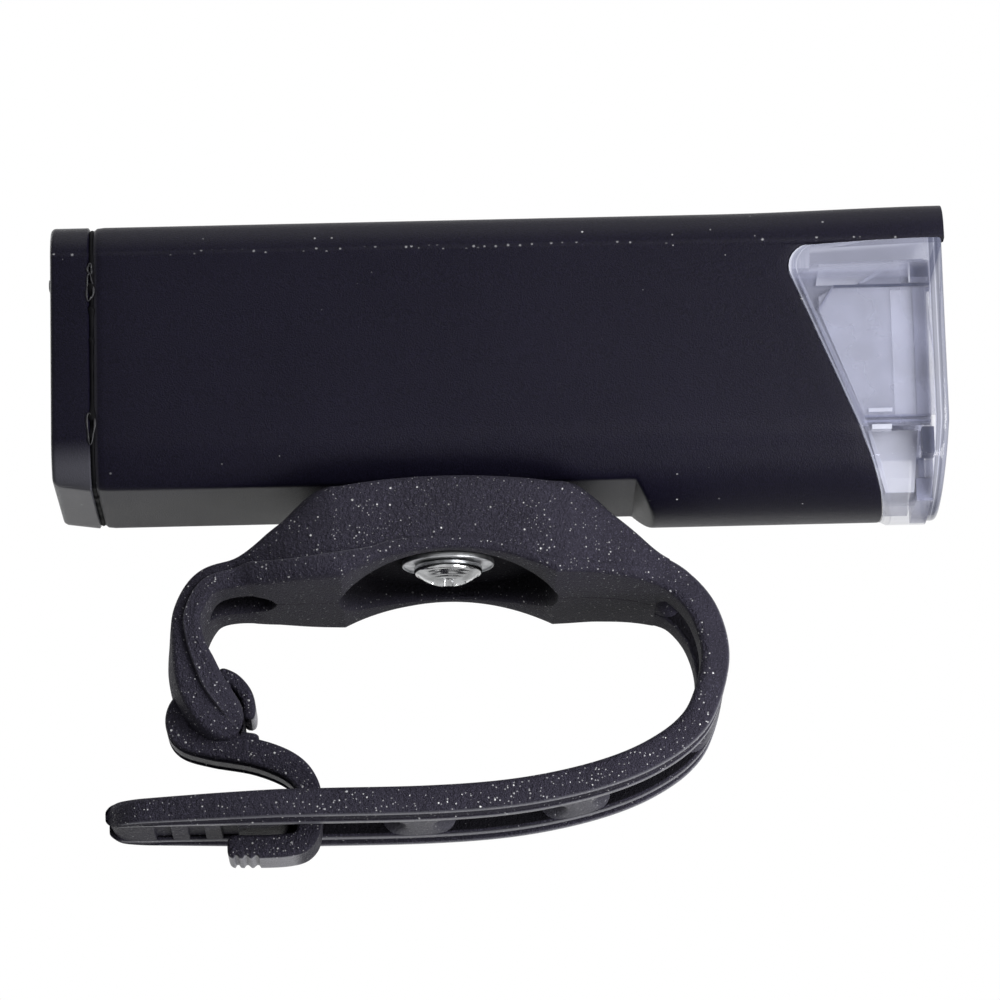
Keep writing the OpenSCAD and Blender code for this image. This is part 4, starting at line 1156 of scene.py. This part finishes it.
def hook_path():
    """Middle line of the hook: through the arm, along under it, down through the strap, back as a tab."""
    tab = RUN - 3.2
    upper = [[x, rise(f), t] for x, f, t in [
        (-21.7, 0.545, 2.3), (-24.4, 0.525, 2.3), (-26.5, 0.475, 2.3), (-27.1, 0.4, 2.3),
        (-26.3, 0.335, 2.3), (-23.7, 0.297, 2.3), (-19.4, 0.266, 2.6), (-16, 0.203, 2.6),
        (-14.3, 0.115, 2.3)]]
    return Path(upper + [[-14.1, RUN, 2.3], [-14.6, tab + 0.8, 2.3], [-16.7, tab, 2.3], [-22.3, tab, 2.3]])


# Slots along the strap's path, and where the strap leaves the saddle
SLOT_MIDDLES = np.array([59.25, 43.43, 27.79, 11.91])
SLOT_HALF = 4.9
SLOT_SIDE = 3.6
CUT = 5.5


def plan_half(x):
    """Half width of the strap seen from above: wide under the light, narrower at the arms and the tip."""
    first, second = (0.5 * (a + np.sqrt(a * a + 1.6 ** 2)) for a in (np.abs(x) - 11, np.abs(x) - 14.5))
    return np.maximum(13.2 - 0.229 * first - 0.171 * second, 9.0)


def place_ring(path, s, y, n):
    """Points beside a path: y across the strap and n along its outward normal."""
    middle, normal, _ = path.at(s)
    x = middle[:, None, 0] + normal[:, None, 0] * n
    z = middle[:, None, 1] + normal[:, None, 1] * n
    return np.stack(np.broadcast_arrays(x, y, z), -1)


def end_roll(s, end, reach):
    """Share of the thickness left near a rounded end: a quarter circle over its last stretch."""
    t = np.clip((s - (end - reach)) / reach, 0, 1)
    return np.sqrt(np.maximum(1 - t * t, 0.0))


def rounded_stops(start, end, reach, steps, count):
    """Places along a path that crowd towards both of its rounded ends."""
    turn = np.linspace(0, np.pi / 2, steps)
    return np.concatenate([start + reach * (1 - np.cos(turn)),
                           np.linspace(start + reach, end - reach, count)[1:-1],
                           end - reach * (1 - np.sin(turn))])


def join(parts):
    """Skins of several parts, and their values as one list."""
    return [skin for skin, _ in parts], np.concatenate([values for _, values in parts])


def rail_skin(path, look, side):
    """One rail of the strap: a round-cornered section carried along it.

    The outer face has a rim, a groove, a slope and a lip beside the slots; its edges have painted
    highlights, and the small groove and the slot walls painted shade. Near the saddle the side has a narrow
    ledge along its inner edge, as the saddle has.
    """
    end, tip = path.end, 4
    s = np.concatenate([np.linspace(CUT - 1, end - tip, 190),
                        end - tip * (1 - np.sin(np.linspace(0.05, np.pi / 2, 14)))])
    middle, _, t = path.at(s)
    x = middle[:, 0]
    lower = middle[:, 1] < 0
    half = np.where(lower, np.interp(x, [-34.2, -17], [6, 9]), plan_half(x))
    plan_end = tip * (1 - end_roll(s, end, tip))
    outer = np.maximum(half - plan_end, SLOT_SIDE + 0.05)[:, None]
    roll = 0.25 + 0.75 * end_roll(s, end, 1.6)
    low, high = (-t / 2 * roll)[:, None], ((t / 2 - 0.1) * roll)[:, None]
    fade = (smoothstep(s, CUT, CUT + 4) * (1 - smoothstep(s, end - 7, end - 3)))[:, None]
    ledge = 0.14 * (1 - smoothstep(s, 16, 22))[:, None]
    a, b, deep = look.edge / MM, 0.5 * look.edge / MM, look.groove / MM
    ca, na = corner(a, -90)
    cb, nb = corner(b, 0)
    k = len(ca)
    inward = np.array([0.8, 0.95, 1.75, 3.2, 3.45, 3.75, 3.95])
    relief = np.array([0, -deep, -deep, -0.12, -0.34, -0.34, -0.02])
    m = len(inward)
    at_outer = np.concatenate([np.zeros(3), np.ones(2 * k + 2 + m), np.zeros(3)])
    dy = np.concatenate([[0, 0.1, 0.35], ca - a, [0, 0], cb - b, -inward, [0.42, 0.12, 0]])
    at_high = np.concatenate([np.zeros(5 + k), np.ones(k + m + 3)])
    dn = np.concatenate([[0.35, 0.1, 0], na + a, [1.0, 1.12], nb - b, relief, [-0.03, -0.12, -0.4]])
    grooved = np.concatenate([np.zeros(5 + 2 * k), np.ones(m), np.zeros(3)])
    stepped = np.concatenate([np.zeros(4 + k), np.ones(k + 2), np.zeros(m + 2)])
    fit = np.clip((outer - SLOT_SIDE - 0.4) / 5, 0.2, 1)
    y = np.where(at_outer, outer, SLOT_SIDE) + dy * np.where(grooved, fit, 1.0) - ledge * stepped
    y = np.clip(y, SLOT_SIDE, outer)
    n = np.where(at_high, high, low) + dn * np.where(grooved, fade, 1.0)
    n = np.clip(n, low, np.maximum(high, low + 0.05))
    # Painted light round the section: pale painted highlights on the rim's upper corner, the land, the lip
    # and the slot edge; painted shade in the small groove and on the slot walls.
    painted_light = np.concatenate([[-1, 0, 0], np.zeros(1 + k), np.linspace(0, 2, k + 1),
                           [1.7, 0, 0, 0.3, -0.5, -0.5, 1.6], [1.7, 0.6, -1]])
    skin = tube(place_ring(path, s, side * y, n))
    return skin, np.broadcast_to(painted_light, n.shape).ravel()


def web_skin(path, start, end, grips=False):
    """Floor of the channel between two slots: a band between the rails, hollowed and rounded at both slots.

    Under the tip it has shallow grip notches.
    """
    s = rounded_stops(start, end, 1.1, 8, max(6, int((end - start) * 12)))
    middle, _, t = path.at(s)

    def both_ends(reach):
        return np.minimum(end_roll(s, end, reach), end_roll(start + end - s, end, reach))[:, None]

    roll = both_ends(1.1)
    low, high = -t[:, None] / 2 + 0.1, t[:, None] / 2 - 0.16
    centre, half = (low + high) / 2, (high - low) / 2 * (0.2 + 0.8 * roll)
    fall = np.minimum(0.8 * (1 - both_ends(2.6)), half)
    pits = np.abs(middle[:, :1] + 28.7 - 3.3 * np.arange(3)) if grips else np.full((1, 1), 9.0)
    pit = 0.45 * smoothstep(0.85 - pits, 0, 0.12).sum(1)[:, None]
    reach = 3.75
    y = np.array([-reach, -3.7, -2.6, -1.3, 0, 1.3, 2.6, 3.7, reach])
    face = np.repeat([0, 1], len(y))
    n = centre + half * (2 * face - 1) - (pit + fall) * face
    y = np.concatenate([y, y[::-1]])
    swing = (2 * s - start - end)[:, None] / (end - start)
    middle, normal, _ = path.at(s[:, None] + 2.0 * swing * ((y / reach) ** 2 - 0.6) * (not grips))
    rings = np.stack([middle[..., 0] + normal[..., 0] * n, np.broadcast_to(y, n.shape),
                      middle[..., 1] + normal[..., 1] * n], -1)
    # Painted highlight: the outer face is painted pale, less under the tip; the inner face is only made
    # smoother.
    painted_light = np.where(face, 0.8 if grips else 1.2, 0.3)
    return tube(rings), np.broadcast_to(painted_light, n.shape).ravel()


class HEADLIGHT_OT_strap(bpy.types.Operator):
    """Slotted strap from the saddle's shoulder round the bend to the tip"""

    bl_idname = "headlight.strap"
    bl_label = "Strap"

    def execute(self, context):
        look = settings(context).rubber
        path = strap_path()
        parts = [rail_skin(path, look, 1), rail_skin(path, look, -1)]
        highs = [path.end - 0.25] + list(SLOT_MIDDLES - SLOT_HALF)
        lows = list(SLOT_MIDDLES + SLOT_HALF) + [CUT - 3]
        parts += [web_skin(path, low, high, grips=high > 70) for high, low in zip(highs, lows)]
        skins, painted_light = join(parts)
        strap = piece("strap_band", skins, rubber_finish(look), None, sharp=50, values={"painted_light": painted_light})
        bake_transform(strap)
        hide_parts("strap_bend", "strap_tail")
        return {"FINISHED"}


# Radius of the recess about the washer, and the ledge along the saddle's side as [x, z]
RECESS = 10.9
CREASE = spline([[-18.4, 12.0], [-15.1, 11.8], [-8.2, 12.4], [-5.3, 13.1], [-0.2, 13.4], [3.8, 12.9],
                 [9.5, 11.25], [13.4, 10.7], [21, 10.4]])


def saddle_sides():
    """Inner and outer side-view curves of the saddle, from the rear arm's end to the strap's start."""
    arm, strap = arm_path(), strap_path()
    s = np.linspace(arm.end, arm.at_x(-19.6), 90)
    middle, normal, t = arm.at(s)
    roll = end_roll(s, arm.end, 1.2) * 0.8 + 0.2
    rear_out = middle - normal * (t * roll)[:, None] / 2
    rear_in = middle + normal * (t * roll)[:, None] / 2
    bow = RECESS * np.sin(np.radians(np.linspace(-90, 90, 91)))
    x = np.concatenate([np.linspace(-18.2, -10.95, 14), bow, np.linspace(10.95, 18.2, 14)])
    seat = np.sqrt(22.5 ** 2 - np.minimum(np.abs(x), 22) ** 2) - 10.2
    slope = np.interp(np.abs(x), [13.5, 17.9, 19.5], [SADDLE_TOP, 14.3, 12.6])
    block_out = np.stack([x, slope], -1)
    block_in = np.stack([x, np.maximum(seat, 9.7)], -1)
    s = np.linspace(strap.at_x(19.6), CUT, 10)
    middle, normal, t = strap.at(s)
    front_out = middle + normal * t[:, None] / 2
    front_in = middle - normal * t[:, None] / 2
    outer = np.concatenate([rear_out, block_out, front_out])
    inner = np.concatenate([rear_in, block_in, front_in])
    return inner, outer, len(rear_out), len(x)


def ease(curve, passes):
    """Curve with rounded corners: each point moves towards the mean of its neighbours, again and again."""
    for _ in range(passes):
        curve = np.concatenate([curve[:1], curve[1:-1] * 0.5 + (curve[:-2] + curve[2:]) * 0.25, curve[-1:]])
    return curve


def saddle_skin(look):
    """Saddle and rear arm as one skin: a round-cornered section between the inner and the outer curve.

    Under the light the inner face steps up into the round recess about the washer, and in the rear arm into
    the slot; the recess and the slot are painted dark as painted shade. The sides have a ledge whose edge
    has a painted highlight: the part next to the inner edge stands proud of the rest. The top is crowned
    along both sides.
    """
    inner, outer, rear, block = saddle_sides()
    outer = ease(outer, 12)
    tidy = smoothstep(inner[:, 0], 13, 16)[:, None]
    inner = inner * (1 - tidy) + ease(inner, 60) * tidy
    across = outer - inner
    thick = np.linalg.norm(across, axis=1)
    e = across / thick[:, None]
    x = inner[:, 0]
    index = np.arange(len(x))
    in_arm = index < rear
    z_mid = (inner[:, 1] + outer[:, 1]) / 2
    arm_half = np.interp(z_mid, [-5.2, 5.3], [6, 9])
    tip = np.clip(1 - index / 20.0, 0, 1)
    soft = np.mean([plan_half(x + shift) for shift in np.linspace(-3.5, 3.5, 15)], 0)
    plan = plan_half(x) + (soft - plan_half(x)) * smoothstep(-np.abs(x), -17, -14)
    half = np.where(in_arm, np.minimum(arm_half, plan), plan) - 3.2 * (1 - np.sqrt(1 - tip ** 2))
    calm = smoothstep(-np.abs(x), -16, -12.5)
    half = half * calm + ease(half, 40) * (1 - calm)
    under = (index >= rear) & (index < rear + block) & (np.abs(x) < RECESS)
    slot = np.clip((x + 20.5) / 3.2, -1, 1)
    in_slot = (np.abs(slot) < 1) & (z_mid > 7)
    recess = np.where(under, 13.95 - inner[:, 1], np.where(in_slot, thick - 0.6, 0.0))
    side = np.where(under, np.sqrt(np.maximum(RECESS ** 2 - x ** 2, 0)), SLOT_SIDE * np.sqrt(1 - slot ** 2))
    bulge = np.where(in_arm, 0.7 * smoothstep(z_mid, 9, 3) * smoothstep(index, 2, 14), 0)
    edge = np.minimum(look.edge / MM, 0.3 * thick)
    crease = np.interp(x, CREASE[:, 0], CREASE[:, 1])
    ledge = np.where(in_arm, np.interp(z_mid, [-5, 2, 9], [0.45, 0.5, 0.62]) * thick, crease - inner[:, 1])
    ledge = np.clip(ledge, 0.75 + 0.12, thick - edge - 0.35)
    ledge = ledge * calm + ease(ledge, 10) * (1 - calm)
    step = np.where(in_arm, 0.7, np.interp(x, [-18, -8, 12, 20.5], [0.5, 0.22, 0.16, 0.14]))
    bevel = np.interp(x, [-20, -17, -9, -4], [0.0, 1.1, 1.0, 0.0])
    step = step * smoothstep(index, 3, 16)
    step = step * calm + ease(step, 8) * (1 - calm)
    crown = 0.0068 * np.minimum(np.abs(x), 14) ** 2 * smoothstep(-np.abs(x), -18, -14)
    drop = np.where(in_arm, 0, crown)[:, None]
    h, t, p, w, b = (a[:, None] for a in (half, thick, recess, side, bulge))
    r, g, q, v = (a[:, None] for a in (edge, ledge, step, bevel))
    c, n = corner(1, -90)
    lift = np.array([1, 1, 0.93, 0.5, 0.12, 0])
    inset = np.array([-9, -0.5, -0.05, 0, 0.05, 0.4])
    y = np.concatenate([np.maximum(w + inset, 0) * (inset > -9), h - r + r * c - v * (1 - c),
                        h - q * np.array([0, 0.4, 1, 1]),
                        h - q - r + r * c[::-1], (h - q) * np.array([0.8, 0.6, 0.4, 0.2, 0.0])], 1)
    up = np.concatenate([p * lift, r + r * n, g + np.array([-0.1, 0, 0.05, 0.2]),
                         t - r - r * n[::-1] - drop,
                         t + b * np.array([0.25, 0.6, 0.85, 0.97, 1.0])
                         - drop * np.array([0.35, 0, 0, 0, 0])], 1)
    points = inner[:, None] + e[:, None] * up[..., None]
    half_ring = np.stack([points[..., 0], y, points[..., 1]], -1)
    # Painted shade in the recess and the slot, and a pale painted highlight on the ledge's edge.
    painted_light = np.concatenate([[-0.9] * 4, [-0.3, 0.1], [0.2, 0.3, 0.4, 0.3, 0.1], [1.0, 1.3, 0], np.zeros(11)])
    painted_light = whole_values(painted_light) * np.ones((len(x), 1))
    # The ledge's painted highlight fades towards the front.
    faint = 1 - 0.75 * smoothstep(x, -8, 4)[:, None]
    painted_light = np.where(painted_light > 0.9, painted_light * faint, painted_light)
    return tube(whole_ring(half_ring)), painted_light.ravel()


class HEADLIGHT_OT_saddle(bpy.types.Operator):
    """Rubber saddle under the light with its rear arm"""

    bl_idname = "headlight.saddle"
    bl_label = "Saddle"

    def execute(self, context):
        look = settings(context).rubber
        rubber = bpy.data.materials["dusty_rubber"]
        skin, painted_light = saddle_skin(look)
        piece("saddle_block", [skin], rubber, "mount", "strap_saddle", sharp=50, values={"painted_light": painted_light})
        return {"FINISHED"}


def hook_band(path, look, half, grips=True):
    """Hook: round-cornered band, rounded at both ends, with two grooves beside a painted-highlight ridge
    below.
    """
    end, edge, reach = path.end, 0.45, 0.6
    s = rounded_stops(0, end, reach, 6, 190)
    middle, _, t = path.at(s)
    roll = np.minimum(end_roll(s, end, reach), end_roll(end - s, end, reach)) * 0.6 + 0.4
    t = t * roll
    pits = np.abs(middle[:, :1] + 21.4 - 0.95 * np.arange(3))
    grip = smoothstep(0.28 - pits, 0, 0.15).sum(1) * (s > end - 6) * grips
    c, n = corner(edge, -90)
    low, high = -t[:, None] / 2, t[:, None] / 2 - 0.3 * grip[:, None]
    h = half - 0.5 * (1 - roll[:, None])
    y = np.concatenate([h * 0, h - 2.15, h - 2.0, h - 0.5, h - 0.4, h - edge + c, h - edge + c[::-1],
                        h * 0.6, h * 0], 1)
    groove = low + look.groove / MM
    up = np.concatenate([low, low, groove, groove, low, low + edge + n, high - edge - n[::-1],
                         high, high], 1)
    # Painted highlights: the middle ridge and the outer strips below are painted pale, fading round the
    # lower corners.
    painted_light = whole_values(np.concatenate([[1.3, 1.3, 0, 0, 1.1], np.linspace(0.8, 0.1, 5),
                                        np.linspace(0, 0.8, 5), [0.6, 0.6]]))
    # Painted highlight: a pale strip along the bottom towards the tip, where light from below catches it.
    tab = np.array([0] * 13 + [1.2] * 6 + [0] * 13) * smoothstep(s, end - 7.5, end - 6)[:, None]
    return tube(whole_ring(place_ring(path, s, y, up))), (painted_light + tab).ravel()


class HEADLIGHT_OT_hook(bpy.types.Operator):
    """Rubber hook that closes the strap, with its anchor inside the rear arm"""

    bl_idname = "headlight.hook"
    bl_label = "Hook"

    def execute(self, context):
        look = settings(context).rubber
        rubber = bpy.data.materials["dusty_rubber"]
        anchor = Path([[-23, 2.3, 1.4], [-21.5, 1.6, 1.4], [-20.4, 0.3, 1.4], [-19.95, -1.1, 1.3],
                       [-20, -2.4, 1.2]])
        lip = Path([[-22, -3.6, 0.95], [-20.6, -4.05, 0.95], [-19.1, -4.3, 0.95]])
        skins, painted_light = join([hook_band(hook_path(), look, 3.3), hook_band(anchor, look, 3.3, False),
                            hook_band(lip, look, 3, False)])
        piece("hook_band", skins, rubber, "mount", "strap_hook", sharp=50, values={"painted_light": painted_light})
        return {"FINISHED"}


class HEADLIGHT_OT_inside(bpy.types.Operator):
    """Finishes of the pieces inside the housing"""

    bl_idname = "headlight.inside"
    bl_label = "Inside"

    def execute(self, context):
        finishes = {
            "led_emitter": plain_finish("emitter_phosphor", (0.85, 0.75, 0.3), 0.35, size_mm=0.3),
            "led_board": plain_finish("white_mask", (0.75, 0.75, 0.73), 0.45, size_mm=3),
            "heat_sink": plain_finish("bare_aluminium", (0.6, 0.61, 0.63), 0.35, 1.0, size_mm=2),
            "push_switch": plain_finish("switch_plastic", (0.5, 0.5, 0.5), 0.5),
            "control_board": plain_finish("green_mask", (0.02, 0.12, 0.05), 0.4, size_mm=4),
            "charging_socket": plain_finish("socket_steel", (0.6, 0.6, 0.62), 0.3, 1.0, size_mm=2),
            "board_screws": plain_finish("zinc_plate", (0.55, 0.55, 0.57), 0.3, 1.0, size_mm=0.8),
            "battery_cell": plain_finish("cell_wrap", (0.05, 0.16, 0.4), 0.35, size_mm=9, spread=0.06),
            "battery_tabs": plain_finish("nickel_strip", (0.62, 0.62, 0.57), 0.3, 1.0, size_mm=1),
            "battery_tray": plain_finish("tray_plastic", (0.72, 0.72, 0.72), 0.5, size_mm=6),
            "thread_insert": plain_finish("turned_brass", (0.65, 0.45, 0.16), 0.3, 1.0, size_mm=0.8),
            "swivel_bush": plain_finish("bush_plastic", (0.03, 0.03, 0.034), 0.45, size_mm=1.5)}
        for node, finish in finishes.items():
            refinish(node, finish)
        return {"FINISHED"}


# Stage


LAMP_AIM = np.array([0.0054, 0, 0.02])
CAMERA_AIM = np.array([0.00535, 0, 0.0199])


class HEADLIGHT_OT_stage(bpy.types.Operator):
    """Camera, floor, white surroundings and soft lamps"""

    bl_idname = "headlight.stage"
    bl_label = "Stage"

    def execute(self, context):
        look = settings(context).stage
        scene = context.scene
        scene.view_settings.view_transform = "Standard"
        self.camera(scene, look)
        self.surroundings(scene, look)
        self.floor(look)
        for name, place, size, power in [("lamp_top", (-0.1, -0.2, 0.8), 0.7, 3.5),
                                         ("lamp_top_front", (0.3, -0.2, 0.7), 0.5, 1.2),
                                         ("lamp_gleam", (0.14, -0.18, 0.03), 0.12, 0.88),
                                         ("lamp_low", (0.1, -0.09, -0.1), 0.08, 0.34),
                                         ("lamp_fill", (-0.6, 0.5, 0.3), 0.6, 2.5)]:
            lamp = bpy.data.lights.new(name, "AREA")
            lamp.size = size
            lamp.energy = power
            obj = bpy.data.objects.new(name, lamp)
            scene.collection.objects.link(obj)
            away = np.array(place) - LAMP_AIM
            obj.matrix_world = self.facing(np.array(place), away / np.linalg.norm(away))
        return {"FINISHED"}

    @staticmethod
    def facing(place, back):
        """Matrix of an object that looks along its own -Z away from a direction, with its X level."""
        right = np.cross([0, 0, 1], back)
        right = right / np.linalg.norm(right)
        up = np.cross(back, right)
        rows = np.eye(4)
        rows[:3, 0], rows[:3, 1], rows[:3, 2], rows[:3, 3] = right, up, back, place
        return Matrix(rows.tolist())

    def camera(self, scene, look):
        data = bpy.data.cameras.new("camera")
        data.lens = 216
        data.sensor_width = 36
        data.clip_start = 0.01
        camera = bpy.data.objects.new("camera", data)
        scene.collection.objects.link(camera)
        e, y = -look.elevation, look.yaw
        ahead = np.array([math.sin(y) * math.cos(e), math.cos(y) * math.cos(e), math.sin(e)])
        place = CAMERA_AIM - look.distance * ahead
        camera.matrix_world = self.facing(place, -ahead) @ Matrix.Rotation(-look.roll, 4, "Z")
        scene.camera = camera

    def surroundings(self, scene, look):
        world = bpy.data.worlds.new("surroundings")
        world.use_nodes = True
        scene.world = world
        tree = world.node_tree
        background = tree.nodes["Background"]
        background.inputs["Color"].default_value = (1, 1, 1, 1)
        path = tree.nodes.new("ShaderNodeLightPath")
        seen = path.outputs["Is Camera Ray"]
        for ray in ("Is Transmission Ray", "Is Glossy Ray"):
            larger = tree.nodes.new("ShaderNodeMath")
            larger.operation = "MAXIMUM"
            tree.links.new(seen, larger.inputs[0])
            tree.links.new(path.outputs[ray], larger.inputs[1])
            seen = larger.outputs[0]
        level = tree.nodes.new("ShaderNodeMapRange")
        tree.links.new(seen, level.inputs[0])
        level.inputs[3].default_value = look.ambient
        level.inputs[4].default_value = 1.0
        tree.links.new(level.outputs[0], background.inputs["Strength"])

    def floor(self, look):
        sides, radius = 96, 2.5
        t = np.linspace(0, 2 * np.pi, sides, endpoint=False)
        ring = np.stack([radius * np.cos(t), radius * np.sin(t), np.full(sides, -look.floor_drop)], -1)
        mesh = bpy.data.meshes.new("floor")
        mesh.from_pydata(ring.tolist(), [], [list(range(sides))])
        mesh.materials.append(floor_finish())
        obj = bpy.data.objects.new("floor", mesh)
        bpy.context.scene.collection.objects.link(obj)


class HEADLIGHT_PT_panel(bpy.types.Panel):
    """Lists the pieces of the headlight"""

    bl_label = "Headlight"
    bl_idname = "HEADLIGHT_PT_panel"
    bl_space_type = "VIEW_3D"
    bl_region_type = "UI"
    bl_category = "Headlight"

    def draw(self, context):
        for operator in OPERATORS:
            self.layout.operator(operator.bl_idname)
        for group in ("housing", "lens", "rubber", "metal", "stage"):
            box = self.layout.box()
            box.label(text=group.title())
            look = getattr(settings(context), group)
            for key in look.bl_rna.properties.keys():
                if key not in ("rna_type", "name"):
                    box.prop(look, key)


GROUPS = (HousingSettings, LensSettings, RubberSettings, MetalSettings, StageSettings, HeadlightSettings)
OPERATORS = (HEADLIGHT_OT_stage, HEADLIGHT_OT_housing, HEADLIGHT_OT_rear_end, HEADLIGHT_OT_top_controls,
             HEADLIGHT_OT_lens, HEADLIGHT_OT_swivel, HEADLIGHT_OT_strap, HEADLIGHT_OT_saddle,
             HEADLIGHT_OT_hook, HEADLIGHT_OT_inside)


def register():
    for cls in GROUPS + OPERATORS + (HEADLIGHT_PT_panel,):
        bpy.utils.register_class(cls)
    bpy.types.Scene.headlight = PointerProperty(type=HeadlightSettings)


def unregister():
    del bpy.types.Scene.headlight
    for cls in reversed(GROUPS + OPERATORS + (HEADLIGHT_PT_panel,)):
        bpy.utils.unregister_class(cls)


def main():
    register()
    for operator in OPERATORS:
        group, name = operator.bl_idname.split(".")
        getattr(getattr(bpy.ops, group), name)()


if __name__ == "__main__":
    main()
